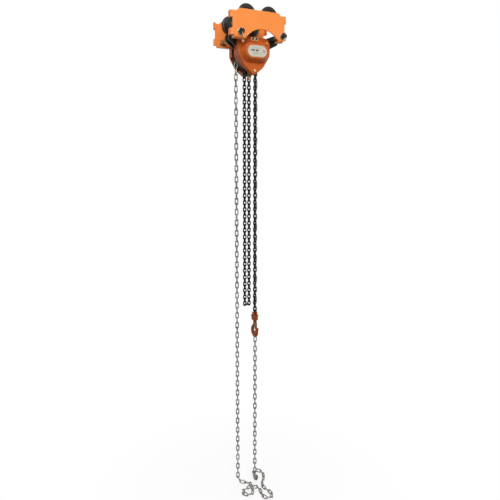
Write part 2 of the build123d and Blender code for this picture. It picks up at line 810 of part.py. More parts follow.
keep("drive_shaft", drive_shaft())
keep("friction_hub", friction_hub())
keep(
    "friction_discs",
    HOIST * ring(BRAKE_D, BRAKE_BORE, FRICTION_IN_Y, FRICTION_IN_Y + FRICTION_T),
    HOIST * ring(BRAKE_D, BRAKE_BORE, FRICTION_OUT_Y, HAND_WEB_Y),
)
keep(
    "hand_wheel_nut",
    HOIST
    * prism(
        hexagon(WHEEL_NUT_AF) - Circle(DRIVE_END_D / 2),
        HAND_HUB_END_Y,
        HAND_HUB_END_Y + WHEEL_NUT_H,
    ),
)

# Ratchet disc and pawls: each pawl nose stands in front of a steep tooth face
RATCHET_ROOT_R = RATCHET_D / 2 - RATCHET_DEPTH
NOSE_ANGLE = degrees((NOSE_R + NOSE_GAP) / (RATCHET_ROOT_R + NOSE_R))
TOOTH_ANGLE = 360.0 / RATCHET_TEETH
NOSE_RADIUS = RATCHET_ROOT_R + RATCHET_DEPTH * NOSE_ANGLE / TOOTH_ANGLE + NOSE_R + 2 * NOSE_GAP


def polar(radius, angle):
    return (radius * cos(radians(angle)), radius * sin(radians(angle)))


def ratchet_outline():
    first = PAWL_ANGLES[0] + NOSE_LEAD + NOSE_ANGLE
    points = []
    for tooth in range(RATCHET_TEETH):
        points.append(polar(RATCHET_ROOT_R, first + tooth * TOOTH_ANGLE))
        points.append(polar(RATCHET_D / 2, first + tooth * TOOTH_ANGLE))
    return make_face(Polyline(*points, close=True))


def ratchet_disc():
    outline = ratchet_outline() - Circle(BRAKE_BORE / 2 + RUNNING_GAP)
    return HOIST * prism(outline, RATCHET_Y, RATCHET_Y + RATCHET_T)


def pawl(angle):
    pin_x, pin_z = polar(PAWL_RADIUS, angle)
    nose_x, nose_z = polar(NOSE_RADIUS, angle + NOSE_LEAD)
    outline = hull_of((pin_x, pin_z, PAWL_D / 2), (nose_x, nose_z, NOSE_R))
    outline -= Pos(pin_x, pin_z) * Circle(PAWL_PIN_D / 2 + RUNNING_GAP)
    teeth = offset(ratchet_outline(), NOSE_GAP)
    for swing in NOSE_RELIEF_SWINGS:
        outline -= Pos(pin_x, pin_z) * Rot(0, 0, swing) * Pos(-pin_x, -pin_z) * teeth
    return HOIST * prism(outline, RATCHET_Y, RATCHET_Y + RATCHET_T)


def pawl_pin(angle):
    x, z = polar(PAWL_RADIUS, angle)
    head_y = RATCHET_Y + RATCHET_T + FACE_GAP
    pin = rod(PAWL_PIN_D, FRAME_INNER, head_y, x, z)
    return HOIST * (pin + rod(PAWL_PIN_D + 3, head_y, head_y + 1.2, x, z))


def pawl_spring(angle):
    x, z = polar(PAWL_RADIUS, angle)
    return HOIST * ring(PAWL_D - 2, PAWL_PIN_D, FRAME_OUTER, RATCHET_Y - FACE_GAP, x, z)


keep("ratchet_disc", ratchet_disc())
for pawl_name, pawl_angle in zip(("upper", "lower"), PAWL_ANGLES):
    keep("pawl_" + pawl_name, pawl(pawl_angle))
keep("pawl_pins", *[pawl_pin(a) for a in PAWL_ANGLES])
keep("pawl_springs", *[pawl_spring(a) for a in PAWL_ANGLES])

# Hand wheel: a dished web with a pocketed rim over the brake


def hand_wheel():
    rim_r = mid_radius(HAND_CHAIN, "upright") + HAND_RIM_OVER
    low = HAND_WEB_Y - HAND_Y
    half = HAND_RIM_W / 2
    body = turned(
        [
            (BRAKE_BORE / 2, low),
            (RIM_INNER_R - 1, low),
            (RIM_INNER_R - 1, -half),
            (rim_r - 1, -half),
            (rim_r, 1 - half),
            (rim_r, half - 1),
            (rim_r - 1, half),
            (RIM_INNER_R, half),
            (RIM_INNER_R - 1, low + WEB_T),
            (HUB_R, low + WEB_T),
            (HUB_R - 1, HAND_HUB_END_Y - HAND_Y),
            (BRAKE_BORE / 2, HAND_HUB_END_Y - HAND_Y),
        ]
    )
    body -= groove_cutter(HAND_CHAIN, 2 * rim_r)
    for cutter in pocket_cutter(HAND_CHAIN, rim_r):
        body -= cutter
    for k in range(HAND_POCKETS):
        x, z = polar(WEB_HOLE_R, 360.0 * k / HAND_POCKETS)
        body -= rod(WEB_HOLE_D, -HAND_RIM_W, HAND_RIM_W, x, z)
    return HOIST * Pos(0, HAND_Y, 0) * body


keep("hand_wheel", hand_wheel())

# Hand wheel cover: a shield-shaped shell on three sleeves, with a slot for each strand of hand chain


def hand_wheel_cover():
    outline = shield(REAR_COVER_HALF, REAR_COVER_TOP, REAR_COVER_TIP)
    body = prism(outline, REAR_COVER_FRONT, REAR_COVER_BACK)
    back = body.faces().sort_by(Axis.Y)[-1]
    body = fillet(back.edges(), REAR_EDGE_R)
    inside = shield(REAR_COVER_HALF, REAR_COVER_TOP, REAR_COVER_TIP, REAR_WALL)
    hollow = prism(inside, REAR_COVER_FRONT - 1, REAR_FLOOR_Y)
    inner_back = hollow.faces().sort_by(Axis.Y)[-1]
    body -= fillet(inner_back.edges(), REAR_EDGE_R - REAR_WALL)
    for x, z in STAYS:
        body -= rod(STAY_END_D, REAR_COVER_FRONT, REAR_COVER_BACK + 1, x, z)
    slot = Pos((SLOT_IN + SLOT_OUT) / 2, HAND_Y, SLOT_TOP) * Box(
        SLOT_OUT - SLOT_IN, 2 * SLOT_HALF, 100, align=(Align.CENTER, Align.CENTER, Align.MAX)
    )
    body -= slot
    body -= mirror(slot, Plane.YZ)
    return HOIST * body


keep("hand_wheel_cover", hand_wheel_cover())

# Sheave guard: bands beside the chain, between the frame plates


def sheave_guard(s):
    band = shield(COVER_HALF, COVER_TOP, COVER_TIP, GUARD_INSET)
    band -= shield(COVER_HALF, COVER_TOP, COVER_TIP, GUARD_INSET + GUARD_T)
    window = Pos(s * GUARD_IN_X, GUARD_TOP) * Rectangle(
        COVER_HALF, 2 * COVER_HALF, align=(Align.MIN if s > 0 else Align.MAX, Align.MAX)
    )
    return HOIST * prism(band & window, -FRAME_INNER, FRAME_INNER)


# Chain guide pins beside the sheave, the stripper finger in its groove and the anchor of the slack end
LEAVE_ANGLE = 90.0 / LOAD_POCKETS - half_angle(LOAD_CHAIN, "flat")
LOAD_R = joint_radius(LOAD_CHAIN) * cos(radians(LEAVE_ANGLE))
LEAVE_Z = joint_radius(LOAD_CHAIN) * sin(radians(LEAVE_ANGLE))
LOOP_W = link_span(LOAD_CHAIN, "flat", "flat", "flat")
GUIDE_X = LOAD_R + LOAD_WIDTH / 2 + GUIDE_D / 2 + 1.0
ANCHOR_X = LOOP_W - LOAD_R
ANCHOR_Z = LEAVE_Z - LOAD_PITCH * RETURN_SHORT
ANCHOR_SLOT = LOAD_WIRE + 2.0


def guide_pin(s):
    pin = rod(GUIDE_D, -FRAME_INNER, FRAME_INNER)
    return HOIST * Pos(s * GUIDE_X, 0, GUIDE_Z) * pin


def chain_stripper():
    outline = hull_of((0, STAY_BOTTOM, STRIPPER_FOOT_R), (0, STRIPPER_TIP_Z, STRIPPER_TIP_R))
    outline -= Pos(0, STAY_BOTTOM) * Circle(STAY_D / 2)
    return HOIST * prism(outline, -LOAD_WIRE / 2, LOAD_WIRE / 2)


def anchor_cheek(side):
    outline = hull_of((0, STAY_BOTTOM, STRIPPER_FOOT_R + 1.5), (ANCHOR_X, ANCHOR_Z, ANCHOR_PIN_D))
    outline -= Pos(0, STAY_BOTTOM) * Circle(STAY_D / 2)
    outline -= Pos(ANCHOR_X, ANCHOR_Z) * Circle(ANCHOR_PIN_D / 2)
    low = ANCHOR_SLOT / 2
    return HOIST * across(prism(outline, low, low + ANCHOR_CHEEK_T), side)


ANCHOR_HALF = ANCHOR_SLOT / 2 + ANCHOR_CHEEK_T
keep("sheave_guards", sheave_guard(-1), sheave_guard(1))
keep("chain_guide_pins", guide_pin(-1), guide_pin(1))
keep("chain_stripper", chain_stripper())
keep("anchor_cheeks", *at_both_sides(anchor_cheek))
keep("anchor_pin", HOIST * rod(ANCHOR_PIN_D, -ANCHOR_HALF - 1.5, ANCHOR_HALF + 1.5, ANCHOR_X, ANCHOR_Z))


# Chain links: round wire bent to an oblong, made once for each chain and placed joint by joint
def link(chain):
    """One link with its length along Z and its flat side facing Y."""
    wire_r = chain["wire"] / 2
    bend_r = chain["width"] / 2 - wire_r
    half = (chain["pitch"] + chain["play"]) / 2 + wire_r - bend_r
    bottom = Pos(0, 0, -half) * revolve(Pos(bend_r, 0) * Circle(wire_r), Axis.Y, 180)
    top = Rot(180, 0, 0) * bottom
    sides = [Pos(s * bend_r, 0, 0) * Cylinder(wire_r, 2 * half) for s in (-1, 1)]
    return (top + bottom + sides[0] + sides[1]).solid()


def place_links(base, joints, first_normal, twist=0.0, twisted_links=1, shifts=None):
    """Copies of a link between joints, each a quarter turn from the last, twisted evenly at the start."""
    shifts = shifts or [0.0] * len(joints)
    normal = Vector(*first_normal)
    last_along = None
    placed = []
    for k, (start, end) in enumerate(zip(joints, joints[1:])):
        along = (end - start).normalized()
        if last_along is not None and last_along.cross(along).length > 1e-9:
            bend = Axis((0, 0, 0), last_along.cross(along))
            normal = normal.rotate(bend, last_along.get_angle(along))
        last_along = along
        roll = 90.0 * (k % 2) + twist * min(k / twisted_links, 1.0)
        facing = normal.rotate(Axis((0, 0, 0), along), roll)
        middle = (start + end) * 0.5 + along * shifts[k]
        spot = Plane(origin=middle, x_dir=facing.cross(along), z_dir=along)
        placed.append(spot.location * base)
    return placed


def other(kind):
    return "upright" if kind == "flat" else "flat"


def spans_of(chain, first_kind, joint_kinds):
    """Joint distances of consecutive links, told which kind of link owns each joint."""
    kind = first_kind
    spans = []
    for start, end in zip(joint_kinds, joint_kinds[1:]):
        spans.append(link_span(chain, kind, start, end))
        kind = other(kind)
    return spans


def shifts_of(chain, first_kind, joint_kinds):
    """How far each link's middle lies past the middle of its joints."""
    half_lap = (chain["wire"] + chain["play"]) / 2
    kind = first_kind
    shifts = []
    for start, end in zip(joint_kinds, joint_kinds[1:]):
        shifts.append(half_lap * ((kind == start) - (kind == end)))
        kind = other(kind)
    return shifts


def walk(start, spans, directions):
    """Joints reached by stepping the given spans along the given directions."""
    joints = [Vector(*start)]
    for span, direction in zip(spans, directions):
        joints.append(joints[-1] + Vector(*direction) * span)
    return joints


def wheel_joints(chain, links):
    """Joints of the links lying over a pocket wheel, the first link being a flat one."""
    radius = joint_radius(chain)
    angle = 90.0 / chain["pockets"] - half_angle(chain, "flat")
    kind = "flat"
    joints = []
    for _ in range(links + 1):
        x, z = polar(radius, angle)
        joints.append(Vector(x, 0, z))
        angle += 2 * half_angle(chain, kind)
        kind = other(kind)
    return joints


def first_facing(chain):
    """Radial direction of the first flat link on the wheel."""
    x, z = polar(1.0, 90.0 / chain["pockets"])
    return (x, 0, z)


DOWN = (0, 0, -1)
UP = (0, 0, 1)
ACROSS = (0, 1, 0)
ALONG_BEAM = (1, 0, 0)
LOAD_LINK = link(LOAD_CHAIN)
HAND_LINK = link(HAND_CHAIN)

# Load chain: over the sheave, down to the hook, and down and back up to the anchor
over_sheave = place_links(LOAD_LINK, wheel_joints(LOAD_CHAIN, LOAD_POCKETS), first_facing(LOAD_CHAIN))
working_spans = spans_of(LOAD_CHAIN, "upright", ["flat"] * (WORKING_LINKS + 1))
working = walk((LOAD_R, 0, LEAVE_Z), working_spans, [DOWN] * WORKING_LINKS)
RETURN_LINKS = SLACK_LINKS - RETURN_SHORT
slack_route = [DOWN] * SLACK_LINKS + [ALONG_BEAM] + [UP] * RETURN_LINKS
slack_spans = spans_of(LOAD_CHAIN, "upright", ["flat"] * (len(slack_route) + 1))
slack = walk((-LOAD_R, 0, LEAVE_Z), slack_spans, slack_route)
keep("load_chain_on_sheave", *[HOIST * one for one in over_sheave])
keep("load_chain_working", *[HOIST * one for one in place_links(LOAD_LINK, working, ACROSS)])
keep("load_chain_slack", *[HOIST * one for one in place_links(LOAD_LINK, slack, ACROSS)])


# Hand chain: over the hand wheel, two strands to the floor, and a long loop of each lying on the floor
def floor_route():
    """Heading and dip of each link of one half of the chain on the floor."""
    route = [(LAY_HEADING, dip) for dip in LANDING_ANGLES]
    route += [(LAY_HEADING, 0.0)] * OUT_LINKS
    route += [(LAY_HEADING + 60, 0.0), (LAY_HEADING + 120, 0.0)]
    route += [(LAY_HEADING + 180, 0.0)] * BACK_LINKS
    return route


def direction_of(heading, dip):
    x, y = polar(cos(radians(dip)), heading)
    return (x, y, -sin(radians(dip)))


def hand_half(side, start, first_kind, first_normal, floor_z=None):
    """Links of one strand and of its half of the floor loops; side -1 is half a turn round."""
    route = [direction_of(heading + (0 if side > 0 else 180), dip) for heading, dip in floor_route()]
    landing = len(LANDING_ANGLES)
    owners = ["flat"] * HAND_LINKS + ["upright"] * (landing + 1) + ["flat"] * (len(route) - landing)
    spans = spans_of(HAND_CHAIN, first_kind, owners)
    lying = walk((0, 0, 0), spans[HAND_LINKS:], route)
    reach = lying[-1]
    drop = sum(spans[:HAND_LINKS]) if floor_z is None else start.Z - floor_z + reach.Z
    foot = Vector(-reach.X, -reach.Y, start.Z - drop)
    total = sum(spans[:HAND_LINKS])
    strand = [start]
    for span in spans[:HAND_LINKS]:
        strand.append(strand[-1] + (foot - start) * (span / total))
    joints = strand + [foot + joint for joint in lying[1:]]
    shifts = shifts_of(HAND_CHAIN, first_kind, owners)
    links = place_links(HAND_LINK, joints, first_normal, LAY_TWIST, HAND_LINKS - 1, shifts)
    return links[:HAND_LINKS], links[HAND_LINKS:], joints[-1].Z


LAY_TWIST = 90.0 - LAY_HEADING
hand_joints = wheel_joints(HAND_CHAIN, HAND_POCKETS)
over_wheel = place_links(HAND_LINK, hand_joints, first_facing(HAND_CHAIN))
right_strand, right_floor, floor_z = hand_half(1, hand_joints[0], "upright", ACROSS)
left_strand, left_floor, _ = hand_half(-1, hand_joints[-1], "flat", ALONG_BEAM, floor_z)
HAND_PLACE = HOIST * Pos(0, HAND_Y, 0)
keep("hand_chain_on_wheel", *[HAND_PLACE * one for one in over_wheel])
keep("hand_chain_strands", *[HAND_PLACE * one for one in right_strand + left_strand])
keep("hand_chain_heap", *[HAND_PLACE * one for one in right_floor + left_floor])

# Hook block: two yoke halves round the chain pin, with the hook's collar on a bearing between them
HOOK_PIN_Z = working[-1].Z + (LOAD_WIRE + CHAIN_PIN_D) / 2 + CHAIN_PLAY
HOOK_PLACE = HOIST * Pos(LOAD_R, 0, HOOK_PIN_Z)


def bar_across(diameter, x_low, x_high, y, z):
    """A round bar along X."""
    return extrude(Plane.YZ.offset(x_low) * Pos(y, z) * Circle(diameter / 2), amount=x_high - x_low)


def slab_across(outline, x_low, x_high):
    """Extrude a Y-Z outline between two X planes."""
    return extrude(Plane.YZ.offset(x_low) * outline, amount=x_high - x_low)


def turned_down(diameter, z_low, z_high):
    """A round bar along Z."""
    return Pos(0, 0, z_low) * Cylinder(
        diameter / 2, z_high - z_low, align=(Align.CENTER, Align.CENTER, Align.MIN)
    )


def yoke():
    foot_y = YOKE_HALF_Y - YOKE_ROUND
    foot_z = YOKE_ROUND - YOKE_DROP
    outline = hull_of((0, 0, YOKE_HEAD_R), (-foot_y, foot_z, YOKE_ROUND), (foot_y, foot_z, YOKE_ROUND))
    body = slab_across(outline, -YOKE_HALF_X, YOKE_HALF_X)
    sides = body.faces().filter_by(Axis.X)
    body = fillet([edge for face in sides for edge in face.edges()], YOKE_ROUND / 3)
    gap = Pos(0, 0, -YOKE_SLOT_DROP) * Box(
        YOKE_SLOT, 4 * YOKE_HALF_Y, 2 * YOKE_DROP, align=(Align.CENTER, Align.CENTER, Align.MIN)
    )
    body -= gap
    body -= bar_across(CHAIN_PIN_D, -YOKE_HALF_X, YOKE_HALF_X, 0, 0)
    for s in (-1, 1):
        body -= bar_across(YOKE_BOLT_D, -YOKE_HALF_X, YOKE_HALF_X, s * YOKE_BOLT_Y, -YOKE_BOLT_DROP)
    body -= turned_down(HOOK_COLLAR_D + 2 * SWIVEL_PLAY, SWIVEL_FLOOR, SWIVEL_TOP)
    body -= turned_down(HOOK_SHANK_D + 2 * RUNNING_GAP, -YOKE_DROP - 1, SWIVEL_FLOOR)
    return body


def yoke_half(s):
    side = Pos(s * YOKE_DROP, 0, 0) * Box(2 * YOKE_DROP, 8 * YOKE_DROP, 8 * YOKE_DROP)
    return HOOK_PLACE * (yoke() & side)


def yoke_bolt(s):
    shank = bar_across(YOKE_BOLT_D, -YOKE_HALF_X - YOKE_BOLT_HEAD, YOKE_HALF_X, 0, 0)
    head = slab_across(hexagon(YOKE_BOLT_AF), YOKE_HALF_X, YOKE_HALF_X + YOKE_BOLT_HEAD)
    nut = slab_across(
        hexagon(YOKE_BOLT_AF) - Circle(YOKE_BOLT_D / 2), -YOKE_HALF_X - YOKE_BOLT_HEAD, -YOKE_HALF_X
    )
    return HOOK_PLACE * Pos(0, s * YOKE_BOLT_Y, -YOKE_BOLT_DROP) * (shank + head + nut)


def swivel_bearing():
    outer = turned_down(HOOK_COLLAR_D + 2 * SWIVEL_PLAY, SWIVEL_FLOOR, SWIVEL_FLOOR + SWIVEL_BEARING_T)
    bore = turned_down(HOOK_SHANK_D + 2 * RUNNING_GAP, SWIVEL_FLOOR - 1, SWIVEL_TOP)
    return HOOK_PLACE * (outer - bore)


def hook():
    neck_z = -YOKE_DROP - 2.0
    collar_z = SWIVEL_FLOOR + SWIVEL_BEARING_T + FACE_GAP
    neck = Line((0, neck_z), (0, neck_z - HOOK_NECK))
    back = JernArc(neck @ 1, neck % 1, HOOK_BACK_R, HOOK_BACK_ARC)
    bowl = JernArc(back @ 1, back % 1, HOOK_BOWL_R, -HOOK_BOWL_ARC)
    flare = JernArc(bowl @ 1, bowl % 1, HOOK_FLARE_R, HOOK_FLARE_ARC)
    path = Plane.YZ * Wire([*neck.edges(), *back.edges(), *bowl.edges(), *flare.edges()])
    section = Plane(origin=path @ 0, z_dir=path % 0) * Circle(HOOK_D / 2)
    tip = path @ 1
    body = sweep(section, path=path) + Pos(tip.X, tip.Y, tip.Z) * Sphere(HOOK_D / 2)
    body += turned_down(HOOK_SHANK_D, neck_z - 1, collar_z)
    body += turned_down(HOOK_COLLAR_D, collar_z, collar_z + HOOK_COLLAR_T)
    lug = hull_of((0, neck_z - HOOK_NECK, 5), (LATCH_Y, -LATCH_DROP, LATCH_EYE_R - 0.2))
    body += slab_across(lug, -LATCH_LUG_T / 2, LATCH_LUG_T / 2)
    body -= bar_across(LATCH_PIN_D, -HOOK_D, HOOK_D, LATCH_Y, -LATCH_DROP)
    return HOOK_PLACE * body


def hook_latch():
    eye = (LATCH_Y, -LATCH_DROP, LATCH_EYE_R)
    nose = (LATCH_NOSE_Y, -LATCH_NOSE_DROP, LATCH_NOSE_R)
    outline = hull_of(eye, nose)
    body = slab_across(outline, -LATCH_HALF_X, LATCH_HALF_X)
    inner = LATCH_HALF_X - LATCH_CHEEK_T
    window = Box(2 * inner, 4 * YOKE_HALF_Y, YOKE_DROP, align=(Align.CENTER, Align.CENTER, Align.MIN))
    body -= Pos(0, LATCH_Y, -LATCH_WEB_DROP) * window
    body -= bar_across(LATCH_PIN_D + 2 * RUNNING_GAP, -HOOK_D, HOOK_D, LATCH_Y, -LATCH_DROP)
    return HOOK_PLACE * body


def latch_spring():
    low = LATCH_LUG_T / 2
    high = LATCH_HALF_X - LATCH_CHEEK_T - FACE_GAP
    spring = bar_across(LATCH_SPRING_D, low, high, LATCH_Y, -LATCH_DROP)
    return HOOK_PLACE * (spring - bar_across(LATCH_PIN_D, 0, HOOK_D, LATCH_Y, -LATCH_DROP))


keep("hook_yoke", yoke_half(-1), yoke_half(1))
keep("yoke_bolts", yoke_bolt(-1), yoke_bolt(1))
keep("chain_pin", HOOK_PLACE * bar_across(CHAIN_PIN_D, -YOKE_HALF_X, YOKE_HALF_X, 0, 0))
keep("swivel_bearing", swivel_bearing())
keep("hook", hook())
keep("hook_latch", hook_latch())
keep(
    "latch_pin",
    HOOK_PLACE * bar_across(LATCH_PIN_D, -LATCH_HALF_X - 1, LATCH_HALF_X + 1, LATCH_Y, -LATCH_DROP),
)
keep("latch_spring", latch_spring())

# One STEP file for each named sub-part
os.makedirs("parts", exist_ok=True)
for node_name, node_shape in NODES.items():
    export_step(node_shape, os.path.join("parts", node_name + ".step"))
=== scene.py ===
from math import cos, pi, radians, sin

import bmesh
import bpy
import numpy as np
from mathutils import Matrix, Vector


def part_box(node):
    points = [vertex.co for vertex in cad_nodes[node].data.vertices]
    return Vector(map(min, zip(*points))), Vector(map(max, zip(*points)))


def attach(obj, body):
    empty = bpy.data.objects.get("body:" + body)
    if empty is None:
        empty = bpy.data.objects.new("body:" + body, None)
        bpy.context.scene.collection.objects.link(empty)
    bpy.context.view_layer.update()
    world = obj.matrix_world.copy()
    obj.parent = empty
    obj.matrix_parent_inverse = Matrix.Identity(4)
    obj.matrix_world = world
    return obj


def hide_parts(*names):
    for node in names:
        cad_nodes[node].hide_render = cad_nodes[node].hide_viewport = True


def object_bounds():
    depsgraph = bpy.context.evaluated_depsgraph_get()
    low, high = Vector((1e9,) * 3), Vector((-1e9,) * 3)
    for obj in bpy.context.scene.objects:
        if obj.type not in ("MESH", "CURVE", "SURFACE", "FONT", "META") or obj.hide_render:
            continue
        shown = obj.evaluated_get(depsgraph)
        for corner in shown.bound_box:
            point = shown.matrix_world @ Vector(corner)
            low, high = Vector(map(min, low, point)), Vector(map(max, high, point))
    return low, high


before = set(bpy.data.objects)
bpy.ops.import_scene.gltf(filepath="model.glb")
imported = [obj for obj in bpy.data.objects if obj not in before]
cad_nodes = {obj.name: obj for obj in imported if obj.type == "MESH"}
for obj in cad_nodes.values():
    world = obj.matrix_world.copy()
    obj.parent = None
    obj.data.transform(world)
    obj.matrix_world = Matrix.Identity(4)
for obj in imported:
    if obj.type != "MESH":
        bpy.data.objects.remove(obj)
cad_low, cad_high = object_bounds()


# Studio: a pale floor under the heap of hand chain, a white surround, and broad soft lamps.
# The camera stands two metres off, left of the gear side, and looks down along the chains.
CAMERA_PLACE = (-0.857, -1.938, -0.578)
CAMERA_TURN = radians(-23.98)
CAMERA_TILT = radians(9.24)
CAMERA_REACH = 200.0
SENSOR_WIDTH = 36.0
FOCAL_PIXELS = 486.2
PHOTO_PIXELS = 500.0

eye = bpy.data.cameras.new("photo_camera")
eye.sensor_width = SENSOR_WIDTH
eye.lens = SENSOR_WIDTH * FOCAL_PIXELS / PHOTO_PIXELS
eye.clip_end = CAMERA_REACH
camera = bpy.data.objects.new("photo_camera", eye)
camera.location = CAMERA_PLACE
camera.rotation_euler = (pi / 2 - CAMERA_TILT, 0.0, CAMERA_TURN)
bpy.context.scene.collection.objects.link(camera)
bpy.context.scene.camera = camera
bpy.context.scene.view_settings.view_transform = "Standard"


def soft_lamp(name, place, aim, width, power):
    """A square area lamp at a place, turned towards the point it lights."""
    light = bpy.data.lights.new(name, "AREA")
    light.shape = "SQUARE"
    light.size = width
    light.energy = power
    lamp = bpy.data.objects.new(name, light)
    lamp.location = place
    lamp.rotation_euler = (Vector(aim) - Vector(place)).to_track_quat("-Z", "Y").to_euler()
    bpy.context.scene.collection.objects.link(lamp)


soft_lamp("key_lamp", place=(-0.6, -2.5, 0.9), aim=(0.0, 0.0, -0.1), width=1.4, power=56.0)
soft_lamp("chain_lamp", place=(-2.2, -2.4, -0.4), aim=(0.0, 0.0, -1.2), width=2.0, power=9.0)
soft_lamp("rim_lamp", place=(1.8, 2.2, 1.0), aim=(0.0, 0.0, -0.3), width=1.6, power=48.0)


def add(tree, kind, sockets=None, **settings):
    """Adds a shader node, sets its options, and fills or links its inputs by name or number."""
    made = tree.nodes.new(kind)
    for key, value in settings.items():
        setattr(made, key, value)
    for key, value in (sockets or {}).items():
        if isinstance(value, bpy.types.NodeSocket):
            tree.links.new(value, made.inputs[key])
        else:
            made.inputs[key].default_value = value
    return made


def maths(tree, operation, first, second=0.0):
    """One step of arithmetic on two values."""
    return add(tree, "ShaderNodeMath", {0: first, 1: second}, operation=operation).outputs[0]


def spread(tree, value, low, high, to_low=0.0, to_high=1.0):
    """Maps the stretch from low to high smoothly onto another stretch."""
    sockets = {"Value": value, "From Min": low, "From Max": high, "To Min": to_low, "To Max": to_high}
    return add(tree, "ShaderNodeMapRange", sockets, interpolation_type="SMOOTHSTEP").outputs["Result"]


def blend_colours(tree, amount, first, second):
    """Mixes two colours by a mask."""
    return add(tree, "ShaderNodeMix", {0: amount, 6: first, 7: second}, data_type="RGBA").outputs[2]


def rgb(red, green, blue):
    """An opaque colour."""
    return (red, green, blue, 1.0)


WHITE = rgb(1.0, 1.0, 1.0)
world = bpy.data.worlds.new("white_surround")
world.use_nodes = True
sky_tree = world.node_tree
sky_tree.nodes.clear()
sky_path = add(sky_tree, "ShaderNodeLightPath").outputs
sky_seen = maths(sky_tree, "MAXIMUM", sky_path["Is Camera Ray"], sky_path["Is Glossy Ray"])
sky_seen = maths(sky_tree, "MAXIMUM", sky_seen, sky_path["Is Transmission Ray"])
upward = add(sky_tree, "ShaderNodeTexCoord").outputs["Generated"]
upward = add(sky_tree, "ShaderNodeSeparateXYZ", {0: upward}).outputs["Z"]
sky_light = spread(sky_tree, upward, low=-0.5, high=0.9, to_low=0.05, to_high=0.62)
sky_level = add(sky_tree, "ShaderNodeMix", {0: sky_seen, 2: sky_light, 3: 1.0}, data_type="FLOAT")
surround = add(sky_tree, "ShaderNodeBackground", {"Color": WHITE, "Strength": sky_level.outputs[0]})
add(sky_tree, "ShaderNodeOutputWorld", {"Surface": surround.outputs[0]})
bpy.context.scene.world = world

FLOOR_HEIGHT = cad_low[2]
FLOOR_HALF = 30.0
FLOOR_PAINT = rgb(0.92, 0.92, 0.92)
FLOOR_BOUNCE = rgb(0.3, 0.3, 0.3)
floor_mesh = bpy.data.meshes.new("studio_floor")
floor_signs = ((-1, -1), (1, -1), (1, 1), (-1, 1))
floor_corners = [(x * FLOOR_HALF, y * FLOOR_HALF, FLOOR_HEIGHT) for x, y in floor_signs]
floor_mesh.from_pydata(floor_corners, [], [(0, 1, 2, 3)])
floor = bpy.data.objects.new("studio_floor", floor_mesh)
bpy.context.scene.collection.objects.link(floor)
floor_paint = bpy.data.materials.new("pale_floor")
floor_paint.use_nodes = True
floor_tree = floor_paint.node_tree
floor_tree.nodes.clear()
floor_path = add(floor_tree, "ShaderNodeLightPath").outputs
floor_tone = blend_colours(floor_tree, floor_path["Is Diffuse Ray"], FLOOR_PAINT, FLOOR_BOUNCE)
floor_matt = add(floor_tree, "ShaderNodeBsdfDiffuse", {"Color": floor_tone}).outputs[0]
floor_white = add(floor_tree, "ShaderNodeEmission", {"Color": WHITE, "Strength": 1.0}).outputs[0]
floor_place = add(floor_tree, "ShaderNodeTexCoord").outputs["Object"]
floor_flat = {0: floor_place, 1: (1.0, 1.0, 0.0)}
floor_flat = add(floor_tree, "ShaderNodeVectorMath", floor_flat, operation="MULTIPLY").outputs[0]
floor_far = add(floor_tree, "ShaderNodeVectorMath", {0: floor_flat}, operation="LENGTH").outputs["Value"]
floor_fade = spread(floor_tree, floor_far, low=0.2, high=0.9, to_low=0.76)
floor_seen = maths(floor_tree, "MAXIMUM", floor_path["Is Camera Ray"], floor_path["Is Glossy Ray"])
floor_share = maths(floor_tree, "MULTIPLY", floor_seen, floor_fade)
floor_mix = add(floor_tree, "ShaderNodeMixShader", {0: floor_share, 1: floor_matt, 2: floor_white})
add(floor_tree, "ShaderNodeOutputMaterial", {"Surface": floor_mix.outputs[0]})
floor_mesh.materials.append(floor_paint)


# Side plates: two thick steel plates folded at the ends and under the shafts, orange powder coat.
# They are pressed and bent, then coated; the coat thins and chips along the cut edges.
def effect_group(name, inputs, outputs):
    """An empty shader group with number inputs given as name: value, and named number outputs."""
    group = bpy.data.node_groups.new(name, "ShaderNodeTree")
    for label, value in inputs.items():
        socket = group.interface.new_socket(name=label, in_out="INPUT", socket_type="NodeSocketFloat")
        socket.default_value = value
    for label in outputs:
        group.interface.new_socket(name=label, in_out="OUTPUT", socket_type="NodeSocketFloat")
    return group, group.nodes.new("NodeGroupInput"), group.nodes.new("NodeGroupOutput")


def noise(tree, place, scale, detail):
    """Cloudy noise at a place; a larger scale is finer, and detail adds smaller clouds."""
    return add(tree, "ShaderNodeTexNoise", {"Vector": place, "Scale": scale, "Detail": detail}).outputs["Fac"]


def build_edge_wear():
    """Rubbed edges: where the rounded normal leaves the true one, broken up by two sizes of noise."""
    group, given, made = effect_group("rubbed_edges", {"Reach": 0.0015, "Amount": 0.5}, ("Mask",))
    rounded = add(group, "ShaderNodeBevel", {"Radius": given.outputs["Reach"]}, samples=4)
    true = add(group, "ShaderNodeNewGeometry")
    normals = {0: rounded.outputs[0], 1: true.outputs["Normal"]}
    facing = add(group, "ShaderNodeVectorMath", normals, operation="DOT_PRODUCT")
    turned = maths(group, "SUBTRACT", 1.0, facing.outputs["Value"])
    place = add(group, "ShaderNodeTexCoord").outputs["Object"]
    coarse = noise(group, place, scale=90.0, detail=4.0)
    fine = noise(group, place, scale=520.0, detail=2.0)
    edge = spread(group, turned, low=0.015, high=0.16)
    patch = spread(group, maths(group, "MULTIPLY", coarse, fine), low=0.26, high=0.36)
    worn = maths(group, "MULTIPLY", maths(group, "MULTIPLY", edge, patch), given.outputs["Amount"])
    group.links.new(worn, made.inputs["Mask"])
    return group


